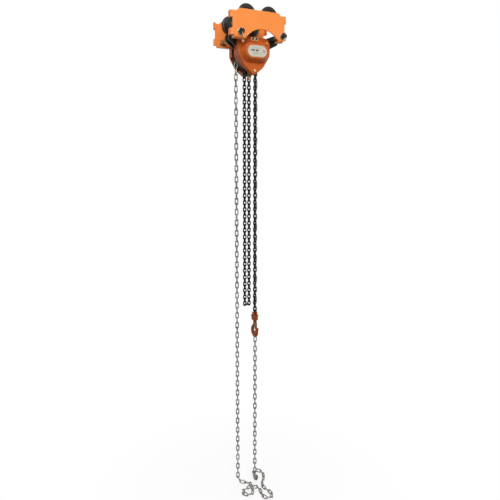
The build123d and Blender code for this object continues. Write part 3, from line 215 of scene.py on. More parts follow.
def build_crevice_grime_and_shade():
    """Dust and old oil with painted shade: dark where other surfaces are close, streaked by noise."""
    group, given, made = effect_group("crevice_grime_and_shade", {"Reach": 0.012, "Amount": 0.5}, ("Mask",))
    close = add(group, "ShaderNodeAmbientOcclusion", {"Distance": given.outputs["Reach"]}, samples=4)
    place = add(group, "ShaderNodeTexCoord").outputs["Object"]
    streaks = noise(group, place, scale=60.0, detail=5.0)
    hidden = maths(group, "SUBTRACT", 1.0, close.outputs["AO"])
    dirty_and_shaded = maths(group, "MULTIPLY", spread(group, hidden, low=0.25, high=0.9), streaks)
    dirty_and_shaded = maths(group, "MULTIPLY", dirty_and_shaded, given.outputs["Amount"])
    group.links.new(dirty_and_shaded, made.inputs["Mask"])
    return group


def build_cloudiness():
    """Slow and quick unevenness of a finish, each from 0 to 1, and a fine height for bump."""
    scales = {"Slow Scale": 14.0, "Quick Scale": 160.0, "Fine Scale": 900.0}
    group, given, made = effect_group("uneven_finish", scales, ("Slow", "Quick", "Height"))
    place = add(group, "ShaderNodeTexCoord").outputs["Object"]
    for label in ("Slow", "Quick"):
        cloud = noise(group, place, given.outputs[label + " Scale"], detail=4.0)
        group.links.new(spread(group, cloud, low=0.3, high=0.7), made.inputs[label])
    skin = noise(group, place, given.outputs["Fine Scale"], detail=2.0)
    group.links.new(skin, made.inputs["Height"])
    return group


RUBBED_EDGES = build_edge_wear()
CREVICE_GRIME_AND_SHADE = build_crevice_grime_and_shade()
UNEVEN_FINISH = build_cloudiness()


def use_group(tree, group, **values):
    """Places an effect in a material with its own values, and gives its outputs."""
    placed = tree.nodes.new("ShaderNodeGroup")
    placed.node_tree = group
    for label, value in values.items():
        placed.inputs[label.replace("_", " ")].default_value = value
    return placed.outputs


def start_material(name):
    """A material holding only its output and a Principled shader."""
    made = bpy.data.materials.new(name)
    made.use_nodes = True
    tree = made.node_tree
    tree.nodes.clear()
    shader = tree.nodes.new("ShaderNodeBsdfPrincipled")
    add(tree, "ShaderNodeOutputMaterial", {"Surface": shader.outputs[0]})
    return made, tree, shader


def link_in(tree, shader, **sockets):
    """Links or sets the shader's sockets, with spaces for underscores."""
    for label, value in sockets.items():
        socket = shader.inputs[label.replace("_", " ")]
        if isinstance(value, bpy.types.NodeSocket):
            tree.links.new(value, socket)
        else:
            socket.default_value = value


# The crevice colour stands for dust and old oil, and for painted shade where parts come close.
PAINT_GRIME_AND_SHADE = rgb(0.03, 0.024, 0.018)
PAINT_SLOW, PAINT_QUICK = 0.45, 0.2
PAINT_DULLER, PAINT_GLOSSIER = 0.08, 0.05
PEEL_HEIGHT = 0.0004
WORN_METAL = 0.8
GRIME_DULLING = 0.3


def coated_metal(name, colour, deep, under, rough, wear, grime_and_shade, peel, gloss=0.5, bare_within=0.0):
    """Paint over steel: clouded colour, thin orange peel, edges rubbed bare, dust and painted shade in
    corners.

    The metal is also bare closer to the middle plane than bare_within.
    """
    made, tree, shader = start_material(name)
    cloud = use_group(tree, UNEVEN_FINISH, Slow_Scale=9.0, Quick_Scale=120.0, Fine_Scale=1100.0)
    worn = use_group(tree, RUBBED_EDGES, Reach=0.0016, Amount=wear)["Mask"]
    dirt_and_shade = use_group(tree, CREVICE_GRIME_AND_SHADE, Reach=0.014, Amount=grime_and_shade)["Mask"]
    if bare_within:
        place = add(tree, "ShaderNodeTexCoord").outputs["Object"]
        across = maths(tree, "ABSOLUTE", add(tree, "ShaderNodeSeparateXYZ", {0: place}).outputs["Y"])
        worn = maths(tree, "MAXIMUM", worn, maths(tree, "LESS_THAN", across, bare_within))
    tone = maths(tree, "MULTIPLY", cloud["Slow"], PAINT_SLOW)
    tone = maths(tree, "ADD", tone, maths(tree, "MULTIPLY", cloud["Quick"], PAINT_QUICK))
    paint = blend_colours(tree, tone, colour, deep)
    paint = blend_colours(tree, dirt_and_shade, paint, PAINT_GRIME_AND_SHADE)
    shine = spread(tree, cloud["Quick"], 0.0, 1.0, rough - PAINT_GLOSSIER, rough + PAINT_DULLER)
    skin = {"Strength": peel, "Distance": PEEL_HEIGHT, "Height": cloud["Height"]}
    link_in(
        tree,
        shader,
        Base_Color=blend_colours(tree, worn, paint, under),
        Roughness=maths(tree, "ADD", shine, maths(tree, "MULTIPLY", dirt_and_shade, GRIME_DULLING)),
        Metallic=maths(tree, "MULTIPLY", worn, WORN_METAL),
        Normal=add(tree, "ShaderNodeBump", skin).outputs[0],
        Specular_IOR_Level=gloss,
    )
    return made


ORANGE = rgb(0.93, 0.285, 0.062)
ORANGE_DEEP = rgb(0.86, 0.235, 0.045)
BARE_STEEL = rgb(0.33, 0.32, 0.31)
orange_coat = coated_metal(
    "orange_powder_coat", ORANGE, ORANGE_DEEP, BARE_STEEL,
    rough=0.36, wear=0.2, grime_and_shade=0.35, peel=0.05, gloss=0.2,
)


def finish_nodes(material, *names):
    """Gives carried-over CAD nodes their finish."""
    for name in names:
        mesh = cad_nodes[name].data
        mesh.materials.clear()
        mesh.materials.append(material)


finish_nodes(orange_coat, "side_plate_front", "side_plate_rear")


# Wheels: cast steel wheels with a guide rim, painted satin black, the paint rubbed off at the edges.
# Each turns on two sealed bearings pressed into its bore and held on the stub axle by a circlip.
# The axles are riveted into the side plates; their ends are painted with the plates.
BLACK = rgb(0.011, 0.0105, 0.009)
BLACK_DUSTY = rgb(0.024, 0.022, 0.018)
black_coat = coated_metal(
    "satin_black_paint", BLACK, BLACK_DUSTY, BARE_STEEL,
    rough=0.38, wear=0.25, grime_and_shade=0.25, peel=0.1, gloss=0.28,
)
# The crevice colour of bare metal is likewise dust and old oil together with painted shade.
METAL_GRIME_AND_SHADE = rgb(0.02, 0.017, 0.014)
METAL_SLOW, METAL_QUICK = 0.6, 0.3
METAL_DULLER, METAL_GLOSSIER = 0.1, 0.06
TOOTH_HEIGHT = 0.0002


def bright_metal(name, colour, deep, rough, grime_and_shade, slow, quick, bumpy):
    """Bare or plated metal: clouded tint and gloss, faint tooth marks, and dust and painted shade in corners.
    """
    made, tree, shader = start_material(name)
    cloud = use_group(tree, UNEVEN_FINISH, Slow_Scale=slow, Quick_Scale=quick, Fine_Scale=1600.0)
    dirt_and_shade = use_group(tree, CREVICE_GRIME_AND_SHADE, Reach=0.006, Amount=grime_and_shade)["Mask"]
    tone = maths(tree, "MULTIPLY", cloud["Slow"], METAL_SLOW)
    tone = maths(tree, "ADD", tone, maths(tree, "MULTIPLY", cloud["Quick"], METAL_QUICK))
    tint = blend_colours(tree, tone, colour, deep)
    shine = spread(tree, cloud["Quick"], 0.0, 1.0, rough - METAL_GLOSSIER, rough + METAL_DULLER)
    marks = {"Strength": bumpy, "Distance": TOOTH_HEIGHT, "Height": cloud["Height"]}
    link_in(
        tree,
        shader,
        Base_Color=blend_colours(tree, dirt_and_shade, tint, METAL_GRIME_AND_SHADE),
        Roughness=maths(tree, "ADD", shine, maths(tree, "MULTIPLY", dirt_and_shade, GRIME_DULLING)),
        Metallic=1.0,
        Normal=add(tree, "ShaderNodeBump", marks).outputs[0],
    )
    return made


ground_steel = bright_metal(
    "ground_bearing_steel", rgb(0.2, 0.19, 0.175), rgb(0.09, 0.086, 0.08),
    rough=0.25, grime_and_shade=1.2, slow=30.0, quick=300.0, bumpy=0.05,
)
black_oxide = bright_metal(
    "black_oxide_steel", rgb(0.05, 0.048, 0.045), rgb(0.025, 0.024, 0.022),
    rough=0.36, grime_and_shade=0.6, slow=40.0, quick=260.0, bumpy=0.15,
)
GREASED_STEEL = rgb(0.1, 0.096, 0.09)
AXLE_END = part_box("stub_axles")[1][1]
AXLE_PAINTED = 0.001
axle_coat = coated_metal(
    "axle_paint", ORANGE, ORANGE_DEEP, GREASED_STEEL,
    rough=0.36, wear=0.2, grime_and_shade=0.35, peel=0.05, gloss=0.2, bare_within=AXLE_END - AXLE_PAINTED,
)
finish_nodes(black_coat, "wheel_left_front", "wheel_right_front", "wheel_left_rear", "wheel_right_rear")
finish_nodes(ground_steel, "wheel_bearings")
finish_nodes(axle_coat, "stub_axles")
finish_nodes(black_oxide, "axle_circlips")


# Bearing seals: pressed shields with a rubber lip, set in the inner face of each wheel's bearing.
# A shallow groove rings each one, at the lip and where the shield is snapped in.
PATCH = (False, False)
TUBE = (False, True)
HOOP = (True, False)
RING = (True, True)


def grid_faces(rows, columns, wrap_rows, wrap_columns):
    """Corner numbers of the squares between neighbouring points of a grid."""
    row = np.arange(rows if wrap_rows else rows - 1)[:, None]
    column = np.arange(columns if wrap_columns else columns - 1)[None, :]
    next_row = (row + 1) % rows
    next_column = (column + 1) % columns
    corners = (
        row * columns + column,
        row * columns + next_column,
        next_row * columns + next_column,
        next_row * columns + column,
    )
    return np.stack(corners, axis=-1).reshape(-1, 4)


MERGE_WITHIN = 1e-7
SHARP_FROM = radians(40.0)


def make_piece(name, grids, wraps, material, slot, body, *replaced):
    """One piece from grids of points (rows, columns, xyz) in metres.

    Each grid's wrap says whether its rows and its columns close: PATCH, TUBE, HOOP or RING.
    """
    points = np.concatenate([grid.reshape(-1, 3) for grid in grids])
    starts = np.cumsum([0] + [grid.shape[0] * grid.shape[1] for grid in grids[:-1]])
    faces = np.concatenate(
        [grid_faces(*grid.shape[:2], *wrap) + start for grid, wrap, start in zip(grids, wraps, starts)]
    )
    mesh = bpy.data.meshes.new(name)
    mesh.from_pydata(points.tolist(), [], faces.tolist())
    tidy = bmesh.new()
    tidy.from_mesh(mesh)
    bmesh.ops.remove_doubles(tidy, verts=tidy.verts, dist=MERGE_WITHIN)
    bmesh.ops.recalc_face_normals(tidy, faces=tidy.faces)
    tidy.to_mesh(mesh)
    tidy.free()
    mesh.shade_smooth()
    mesh.set_sharp_from_angle(angle=SHARP_FROM)
    mesh.materials.append(material)
    piece = bpy.data.objects.new(name, mesh)
    bpy.context.scene.collection.objects.link(piece)
    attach(piece, body)
    if replaced:
        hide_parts(*replaced)


def turned_grid(radius, along, centre, sides=48):
    """A profile of radius against height, turned about the line along Y through centre (x, z)."""
    angle = np.linspace(0.0, 2 * pi, sides, endpoint=False)[None, :]
    radius = np.asarray(radius)[:, None]
    x = centre[0] + radius * np.cos(angle)
    z = centre[1] + radius * np.sin(angle)
    y = np.broadcast_to(np.asarray(along)[:, None], x.shape)
    return np.stack((x, y, z), axis=-1)


WHEEL_XS = (-0.048, 0.048)
WHEEL_Z = 0.028
BEARING_FACE = 0.064
SEAL_R = np.array([9.4, 9.4, 10.3, 10.8, 11.4, 15.8, 16.4, 17.0, 18.4, 18.4]) / 1000
SEAL_OUT = np.array([0.0, 0.35, 0.35, 0.1, 0.5, 0.7, 0.2, 0.45, 0.35, 0.0]) / 1000
seal_rubber = coated_metal(
    "seal_rubber", rgb(0.03, 0.03, 0.032), rgb(0.045, 0.043, 0.04), rgb(0.06, 0.06, 0.06),
    rough=0.55, wear=0.2, grime_and_shade=0.3, peel=0.2,
)
seal_grids = [
    turned_grid(SEAL_R, side * (BEARING_FACE - SEAL_OUT), (x, WHEEL_Z)) for x in WHEEL_XS for side in (-1, 1)
]
make_piece("bearing_seals", seal_grids, [TUBE] * 4, seal_rubber, "black_paint", "trolley_hoist")


# Suspension shafts: two steel bars that tie the plates together and carry the hoist by its ears.
# Zinc-plated tubes and washers set the width; black nuts close the threaded ends.
bright_zinc = bright_metal(
    "bright_zinc_plate", rgb(0.72, 0.66, 0.56), rgb(0.55, 0.47, 0.37),
    rough=0.3, grime_and_shade=0.2, slow=22.0, quick=190.0, bumpy=0.1,
)
dull_zinc = bright_metal(
    "dull_yellow_zinc", rgb(0.42, 0.3, 0.15), rgb(0.26, 0.18, 0.085),
    rough=0.4, grime_and_shade=0.4, slow=30.0, quick=210.0, bumpy=0.2,
)
finish_nodes(bright_zinc, "shaft_washers")
finish_nodes(dull_zinc, "adjusting_washers", "spacer_tubes")
finish_nodes(black_oxide, "shaft_nuts")

SHAFT_XS = (-0.079, 0.105)
SHAFT_Z = -0.045
SHAFT_R = 0.007
SHAFT_END = 0.122
SHAFT_CHAMFER = 0.0012
SHAFT_PLAIN = (0.02, 0.06, 0.1)
THREAD_FROM = 0.1155
THREAD_PITCH = 0.0015
THREAD_DEPTH = 0.0007
THREAD_STEPS = 40


def threaded_shaft(x):
    """A bar whose radius dips along a helix near its ends: less half the depth times 1 + cos(turns)."""
    end = np.linspace(THREAD_FROM, SHAFT_END - SHAFT_CHAMFER, THREAD_STEPS)
    half = np.concatenate((SHAFT_PLAIN, end, (SHAFT_END, SHAFT_END)))
    along = np.concatenate((-half[::-1], half))[:, None]
    angle = np.linspace(0.0, 2 * pi, THREAD_STEPS, endpoint=False)[None, :]
    turns = 2 * pi * along / THREAD_PITCH - angle
    cut = (np.abs(along) >= THREAD_FROM) * (np.abs(along) < SHAFT_END)
    radius = SHAFT_R - cut * THREAD_DEPTH / 2 * (1 + np.cos(turns))
    radius[[1, -2]] = SHAFT_R - SHAFT_CHAMFER
    radius[[0, -1]] = 0.0
    y = np.broadcast_to(along, radius.shape)
    return np.stack((x + radius * np.cos(angle), y, SHAFT_Z + radius * np.sin(angle)), axis=-1)


for shaft_side, shaft_x in zip(("left", "right"), SHAFT_XS):
    make_piece(
        "threaded_shaft_" + shaft_side, [threaded_shaft(shaft_x)], [TUBE],
        black_oxide, "black_paint", "trolley_hoist", "suspension_shaft_" + shaft_side,
    )


# Split pins: soft zinc-plated wire doubled into an eye, one through each end of the shafts.
# Each is pushed in from above, and its legs are bent apart below to keep the nut from turning off.
EAST = np.array([1.0, 0.0, 0.0])
PIN_Y = 0.119
PIN_WIRE_R = 0.00068
PIN_HALF_GAP = 0.0007
PIN_EYE_R = 0.0023
PIN_EYE_GAP = 0.35
PIN_LEG_TOP = 0.0085
PIN_BEND = 0.0082
PIN_SHORT_R = 0.0026
PIN_SHORT_ANGLE = 1.1
PIN_LEG_R = 0.006
PIN_LEG_ANGLE = 0.45
PIN_LEG_FROM = 0.001
PIN_LEG_RUN = 0.017
PIN_TIP = np.array([0.0, 0.0, -1e-5])
PIN_EYE_STEPS = 28
PIN_BEND_STEPS = 8
PIN_RUN_STEPS = 6


def tube_grid(route, radius, flat_normal, sides=10):
    """A round wire carried along a route that lies in one plane, its ends drawn to a point."""
    ahead = np.gradient(route, axis=0)
    ahead /= np.linalg.norm(ahead, axis=1, keepdims=True)
    aside = np.cross(ahead, flat_normal)
    aside /= np.linalg.norm(aside, axis=1, keepdims=True)
    above = np.cross(aside, ahead)
    angle = np.linspace(0.0, 2 * pi, sides, endpoint=False)
    ring = np.cos(angle)[None, :, None] * aside[:, None] + np.sin(angle)[None, :, None] * above[:, None]
    size = np.full(len(route), radius)
    size[[0, -1]] = 0.0
    return route[:, None] + ring * size[:, None, None]


def split_pin_route(x, side):
    """The wire's way: a short bent leg, up the hole, round the eye, down again, and a long leg.

    The short leg is an arc; the long one bends aside in an arc and then runs straight.
    """
    around = np.linspace(-pi / 2 - PIN_EYE_GAP, -pi / 2 + PIN_EYE_GAP - 2 * pi, PIN_EYE_STEPS)
    eye_y = PIN_EYE_R * np.cos(around)
    eye_z = PIN_LEG_TOP + PIN_EYE_R * (1 + np.sin(around))
    short = np.linspace(0.0, PIN_SHORT_ANGLE, PIN_BEND_STEPS)
    short_y = PIN_HALF_GAP + PIN_SHORT_R * (1 - np.cos(short))
    short_z = -PIN_BEND - PIN_SHORT_R * np.sin(short)
    swing = np.linspace(0.0, PIN_LEG_ANGLE, PIN_BEND_STEPS)
    run = np.linspace(PIN_LEG_FROM, PIN_LEG_RUN, PIN_RUN_STEPS) / PIN_LEG_R
    long_x = np.concatenate((1 - np.cos(swing), 1 - cos(PIN_LEG_ANGLE) + run * sin(PIN_LEG_ANGLE)))
    long_z = np.concatenate((np.sin(swing), sin(PIN_LEG_ANGLE) + run * cos(PIN_LEG_ANGLE)))
    over_x = np.concatenate((np.zeros(len(short) + len(around)), -np.sign(x) * PIN_LEG_R * long_x))
    y = np.concatenate((-short_y[::-1], eye_y, np.full(len(long_x), PIN_HALF_GAP)))
    z = np.concatenate((short_z[::-1], eye_z, -PIN_BEND - PIN_LEG_R * long_z))
    route = np.stack((x + over_x, side * (PIN_Y + y), SHAFT_Z + z), axis=-1)
    tips = route[[0, -1]] + PIN_TIP
    return np.concatenate((tips[:1], route, tips[1:]))


pin_routes = [split_pin_route(x, side) for x in SHAFT_XS for side in (-1, 1)]
make_piece(
    "split_pin_wires", [tube_grid(route, PIN_WIRE_R, EAST) for route in pin_routes], [TUBE] * 4,
    bright_zinc, "bright_zinc", "trolley_hoist", "split_pins",
)


# Hoist frame: two laser-cut steel plates with an ear for each shaft, painted black.
# Three yellow-plated stay bolts clamp them and hold the covers by nuts, with sleeves between.
yellow_zinc = bright_metal(
    "yellow_zinc_plate", rgb(0.72, 0.58, 0.3), rgb(0.6, 0.42, 0.26),
    rough=0.28, grime_and_shade=0.6, slow=40.0, quick=260.0, bumpy=0.08,
)
machined_steel = bright_metal(
    "machined_steel", rgb(0.42, 0.41, 0.4), rgb(0.26, 0.25, 0.24),
    rough=0.34, grime_and_shade=0.6, slow=25.0, quick=220.0, bumpy=0.15,
)
finish_nodes(black_coat, "hoist_frame_front", "hoist_frame_rear")
finish_nodes(yellow_zinc, "stay_bolts", "cover_nuts")
finish_nodes(machined_steel, "cover_sleeves")


# Gear train: two intermediate gears, the load gear, and the drive shaft with its pinion.
# All are hobbed from steel and run in grease behind the front cover.
finish_nodes(machined_steel, "intermediate_gear_left", "intermediate_gear_right", "load_gear", "drive_shaft")


# Gear cover: a drawn steel shield with a dome over the gears, in a deeper orange than the trolley.
# It is bolted to the frame by three nuts, with a small plated tab and two screws at its top edge.
COVER_ORANGE = rgb(0.57, 0.121, 0.018)
COVER_ORANGE_DEEP = rgb(0.47, 0.09, 0.013)
cover_coat = coated_metal(
    "deep_orange_gloss", COVER_ORANGE, COVER_ORANGE_DEEP, BARE_STEEL,
    rough=0.3, wear=0.15, grime_and_shade=0.4, peel=0.03, gloss=0.12,
)
finish_nodes(yellow_zinc, "lock_plate")
finish_nodes(black_coat, "lock_screws")

HOIST_X = 0.004
HOIST_Z = -0.106
COVER_BACK = -0.020
COVER_FRONT = -0.047
DOME_FRONT = -0.075
COVER_WALL = 0.003
COVER_EDGE_R = 0.003
COVER_INNER_R = 0.0005
BEND_STEPS = 6
LEAN_STEPS = 4
FOLD_STEPS = 5
DOME_LEAN = radians(25.0)
DOME_DISCS = np.array([(22, 2, 41)]) / 1000
SHIELD_DISCS = np.array([(44, 36, 26), (30, 6, 40), (-2, -16, 56), (0, -66, 16)]) / 1000


def hull_ring(discs, inset, depth, sides=144):
    """A skin stretched round discs and drawn in: each way outwards, the disc that reaches furthest.

    The discs (x, z, radius) are those of the right half, and the left half mirrors it.
    """
    angle = (np.arange(sides) + 0.5) * 2 * pi / sides
    way = np.stack((np.abs(np.cos(angle)), np.sin(angle)), axis=-1)
    furthest = discs[(way @ discs[:, :2].T + discs[:, 2]).argmax(axis=1)]
    spot = furthest[:, :2] + (furthest[:, 2:] - inset) * way
    x = HOIST_X + np.sign(np.cos(angle)) * spot[:, 0]
    return np.column_stack((x, np.full(sides, depth), HOIST_Z + spot[:, 1]))


def shell_side(wall):
    """One side of the cover from rim to middle: wall, rounded edge, flange, leaning dome and its face."""
    front, top = COVER_FRONT + wall, DOME_FRONT + wall
    edge_r = COVER_EDGE_R if wall == 0.0 else COVER_INNER_R
    bend = np.linspace(0.0, pi / 2, BEND_STEPS)
    lean_end = top + edge_r * (1 - sin(DOME_LEAN))
    lean = np.linspace(front, lean_end, LEAN_STEPS)
    fold = np.linspace(DOME_LEAN, pi / 2, FOLD_STEPS)[1:]
    drawn = (front - lean_end) * np.tan(DOME_LEAN) + edge_r * (cos(DOME_LEAN) - np.cos(fold))
    rings = [(SHIELD_DISCS, wall, COVER_BACK)]
    rings += [(SHIELD_DISCS, wall + edge_r * (1 - cos(b)), front + edge_r * (1 - sin(b))) for b in bend]
    rings += [(DOME_DISCS, wall + (front - y) * np.tan(DOME_LEAN), y) for y in lean]
    rings += [(DOME_DISCS, wall + d, top + edge_r * (1 - sin(f))) for d, f in zip(drawn, fold)]
    rings += [(DOME_DISCS, DOME_DISCS[0, 2], top)]
    return np.stack([hull_ring(*ring) for ring in rings])


cover_grid = np.concatenate((shell_side(COVER_WALL)[::-1], shell_side(0.0)))
make_piece(
    "gear_cover_shell", [cover_grid], [TUBE], cover_coat, "orange_paint", "trolley_hoist", "gear_cover"
)


# Plate on the dome: off-white painted metal with rounded ends, held by two steel rivets.
# A raised border, two bars, four rules and an empty box stand on its face.
off_white = coated_metal(
    "off_white_plate", rgb(0.58, 0.54, 0.45), rgb(0.5, 0.46, 0.37), BARE_STEEL,
    rough=0.4, wear=0.35, grime_and_shade=0.4, peel=0.05, gloss=0.3,
)
plate_ink = coated_metal(
    "plate_print", rgb(0.035, 0.033, 0.03), rgb(0.06, 0.056, 0.05), rgb(0.4, 0.38, 0.34),
    rough=0.45, wear=0.3, grime_and_shade=0.2, peel=0.1,
)
finish_nodes(off_white, "name_plate")

PLATE_X = 0.004
PLATE_Z = -0.104
PLATE_FACE = -0.076
PLATE_STRAIGHT = 0.020
RIDGE_HIGH = 0.00035
BORDER_R = 0.0196
BORDER_HALF = 0.0007
BOX_X, BOX_Z, BOX_SIZE = 0.0285, 0.001, 0.0036
BOX_HALF = 0.0008
BAR_HALF = 0.003
BARS = ((-0.0265, -0.0115, 0.003), (-0.007, 0.005, 0.0025))
RULE_HALF = 0.00045
RULES = (
    (-0.014, 0.014, 0.0115), (-0.018, 0.004, -0.0065), (-0.018, 0.002, -0.0105), (0.012, 0.019, -0.0085)
)
SQUARE_END = 1e-5
RIDGE_STEPS = 7
BORDER_STEPS = 25
RULE_STEPS = 10
BOX_STEPS = 32


def ridge_grid(route_x, route_z, half, closed):
    """A low ridge of round section carried along a flat route on the plate, its open ends drawn in."""
    route = np.stack((route_x, route_z), axis=-1)
    if closed:
        ahead = np.roll(route, -1, axis=0) - np.roll(route, 1, axis=0)
    else:
        ahead = np.gradient(route, axis=0)
    ahead /= np.linalg.norm(ahead, axis=1, keepdims=True)
    aside = np.stack((-ahead[:, 1], ahead[:, 0]), axis=-1)
    angle = np.linspace(0.0, pi, RIDGE_STEPS)[None, :]
    size = np.ones((len(route), 1))
    if not closed:
        size[[0, -1]] = 0.0
    offset = half * np.cos(angle) * size
    height = RIDGE_HIGH * np.sin(angle) * size
    x = PLATE_X + route[:, :1] + aside[:, :1] * offset
    z = PLATE_Z + route[:, 1:] + aside[:, 1:] * offset
    return np.stack((x, PLATE_FACE - height, z), axis=-1)


def border_route(straight, radius):
    """A stadium: two half circles joined by straight sides."""
    right = np.linspace(-pi / 2, pi / 2, BORDER_STEPS)
    left = right + pi
    x = np.concatenate((straight + radius * np.cos(right), -straight + radius * np.cos(left)))
    z = np.concatenate((radius * np.sin(right), radius * np.sin(left)))
    return x, z


def rule_route(start, end, height):
    """A straight rule whose ends are doubled a hair apart, so that they stay square."""
    between = np.linspace(start + SQUARE_END, end - SQUARE_END, RULE_STEPS)
    x = np.concatenate(([start], between, [end]))
    return x, np.full_like(x, height)


def box_route(middle, height, half):
    """An empty box: a square with rounded corners, as a squircle of the fourth power."""
    angle = np.linspace(0.0, 2 * pi, BOX_STEPS, endpoint=False)
    x = middle + half * np.sign(np.cos(angle)) * np.sqrt(np.abs(np.cos(angle)))
    z = height + half * np.sign(np.sin(angle)) * np.sqrt(np.abs(np.sin(angle)))
    return x, z


border_grid = ridge_grid(*border_route(PLATE_STRAIGHT, BORDER_R), BORDER_HALF, True)
make_piece("plate_border", [border_grid], [HOOP], off_white, "plate_white", "trolley_hoist")
mark_grids = [ridge_grid(*box_route(BOX_X, BOX_Z, BOX_SIZE), BOX_HALF, True)]
mark_grids += [ridge_grid(*rule_route(*bar), BAR_HALF, False) for bar in BARS]
mark_grids += [ridge_grid(*rule_route(*rule), RULE_HALF, False) for rule in RULES]
mark_wraps = [HOOP] + [PATCH] * (len(BARS) + len(RULES))
make_piece("plate_rules", mark_grids, mark_wraps, plate_ink, "plate_white", "trolley_hoist")

RIVET_APART = 0.0355
RIVET_XS = (PLATE_X - RIVET_APART, PLATE_X + RIVET_APART)
RIVET_R = np.array([2.1, 2.1, 1.9, 1.4, 0.7, 0.0]) / 1000
RIVET_OUT = np.array([0.0, 0.25, 0.7, 1.05, 1.25, 1.3]) / 1000
rivet_grids = [turned_grid(RIVET_R, PLATE_FACE - RIVET_OUT, (x, PLATE_Z), sides=24) for x in RIVET_XS]
make_piece("plate_rivets", rivet_grids, [TUBE] * 2, machined_steel, "machined_steel", "trolley_hoist")


# Sheave and brake: a cast load sheave and a cast hand wheel, both with pockets for their links.
# Between them sits the ratchet brake, steel discs with pressed linings, two pawls and their pins.
# The chain is led by plated pins and a stripper, and its slack end hangs from a plated anchor.
cast_grey = bright_metal(
    "zinc_flashed_casting", rgb(0.3, 0.29, 0.28), rgb(0.2, 0.19, 0.18),
    rough=0.48, grime_and_shade=0.7, slow=30.0, quick=240.0, bumpy=0.5,
)
lining = coated_metal(
    "pressed_friction_lining", rgb(0.14, 0.095, 0.06), rgb(0.09, 0.065, 0.045), rgb(0.2, 0.15, 0.1),
    rough=0.75, wear=0.2, grime_and_shade=0.4, peel=0.6,
)
finish_nodes(cast_grey, "load_sheave", "hand_wheel")
finish_nodes(lining, "friction_discs")
finish_nodes(ground_steel, "sheave_bearings")
finish_nodes(machined_steel, "friction_hub", "ratchet_disc", "pawl_upper", "pawl_lower", "pawl_pins")
finish_nodes(machined_steel, "chain_stripper")
finish_nodes(yellow_zinc, "chain_guide_pins", "anchor_pin")
finish_nodes(dull_zinc, "anchor_cheeks")
finish_nodes(black_coat, "hand_wheel_nut")
finish_nodes(cover_coat, "sheave_guards")


# Hand wheel cover: a drawn steel shield like the gear cover but with a flat back, painted to match.
# Sleeves hold it off the frame, and its rim is notched on both sides where the hand chain comes out.
REAR_DISCS = np.array([(42, 32, 26), (28, 6, 40), (-2, -14, 56), (0, -62, 16)]) / 1000
REAR_RIM = 0.033
REAR_BACK = 0.064
REAR_WALL = 0.002
REAR_EDGE_R = 0.005
NOTCH_END = 0.0525
NOTCH_IN = 0.034
NOTCH_TOP = -0.006


def rear_cap(wall):
    """One side of the closed end: a short wall, a rounded edge and a flat back drawn to its middle."""
    back, edge_r = REAR_BACK - wall, REAR_EDGE_R - wall
    bend = np.linspace(0.0, pi / 2, BEND_STEPS)
    drawn = wall + edge_r * (1 - np.cos(bend))
    depth = back - edge_r * (1 - np.sin(bend))
    rings = [hull_ring(REAR_DISCS, wall, NOTCH_END)]
    rings += [hull_ring(REAR_DISCS, *ring) for ring in zip(drawn, depth)]
    rings += [np.broadcast_to((HOIST_X, back, HOIST_Z), rings[0].shape)]
    return np.stack(rings)


def rear_skirt():
    """The wall from rim to closed end, left out in the notches, whose edges join its two sides."""
    rings = [(REAR_WALL, NOTCH_END), (REAR_WALL, REAR_RIM), (0.0, REAR_RIM), (0.0, NOTCH_END)]
    skirt = np.stack([hull_ring(REAR_DISCS, *ring) for ring in rings])
    skirt = np.roll(skirt, skirt.shape[1] // 4, axis=1)
    x, z = skirt[2, :, 0] - HOIST_X, skirt[2, :, 2] - HOIST_Z
    notched = (np.abs(x) > NOTCH_IN) & (z < NOTCH_TOP)
    right_from, right_to, left_from, left_to = np.flatnonzero(np.diff(notched.astype(int))) + 1
    last_run = np.concatenate((skirt[:, left_to:], skirt[:, :right_from]), axis=1)
    runs = [skirt[:, right_to:left_from], last_run]
    ledges = [skirt[[0, 3], right_from - 1 : right_to + 1], skirt[[0, 3], left_from - 1 : left_to + 1]]
    ends = [skirt[[[0, 1], [3, 2]], end] for end in (right_from - 1, right_to, left_from - 1, left_to)]
    return runs + ledges + ends


rear_caps = [rear_cap(REAR_WALL), rear_cap(0.0)]
rear_walls = rear_skirt()
make_piece(
    "hand_wheel_cover_shell", rear_caps + rear_walls, [TUBE] * len(rear_caps) + [PATCH] * len(rear_walls),
    cover_coat, "orange_paint", "trolley_hoist", "hand_wheel_cover",
)


# Pawl springs: small torsion coils round the pawl pins, between the frame and the pawls.
# They are wound cold from hard steel wire, and each presses its pawl on to the ratchet.
NORTH = np.array([0.0, 1.0, 0.0])
UP = np.array([0.0, 0.0, 1.0])
COIL_STEPS = 28
COIL_TIP = 0.02
PAWL_RADIUS = 0.048
PAWL_ANGLES = (radians(70.0), radians(250.0))
PAWL_COIL_R = 0.0041
PAWL_COIL_WIRE = 0.00045
PAWL_COIL_TURNS = 4.0
PAWL_COIL_FROM = 0.0204
PAWL_COIL_TO = 0.0247


def coil_grid(centre, across, up, axis, radius, wire_r, turns, length):
    """A helix of round wire: angle grows evenly while the place along the axis goes from end to end."""
    share = np.linspace(0.0, 1.0, int(COIL_STEPS * turns))[:, None]
    angle = 2 * pi * turns * share
    round_part = radius * (np.cos(angle) * across + np.sin(angle) * up)
    route = centre + round_part + (share - 0.5) * length * axis
    route = np.concatenate((route[:1] - (route[1:2] - route[:1]) * COIL_TIP, route, route[-1:]))
    route[-1] += (route[-2] - route[-3]) * COIL_TIP
    return tube_grid(route, wire_r, axis, sides=8)


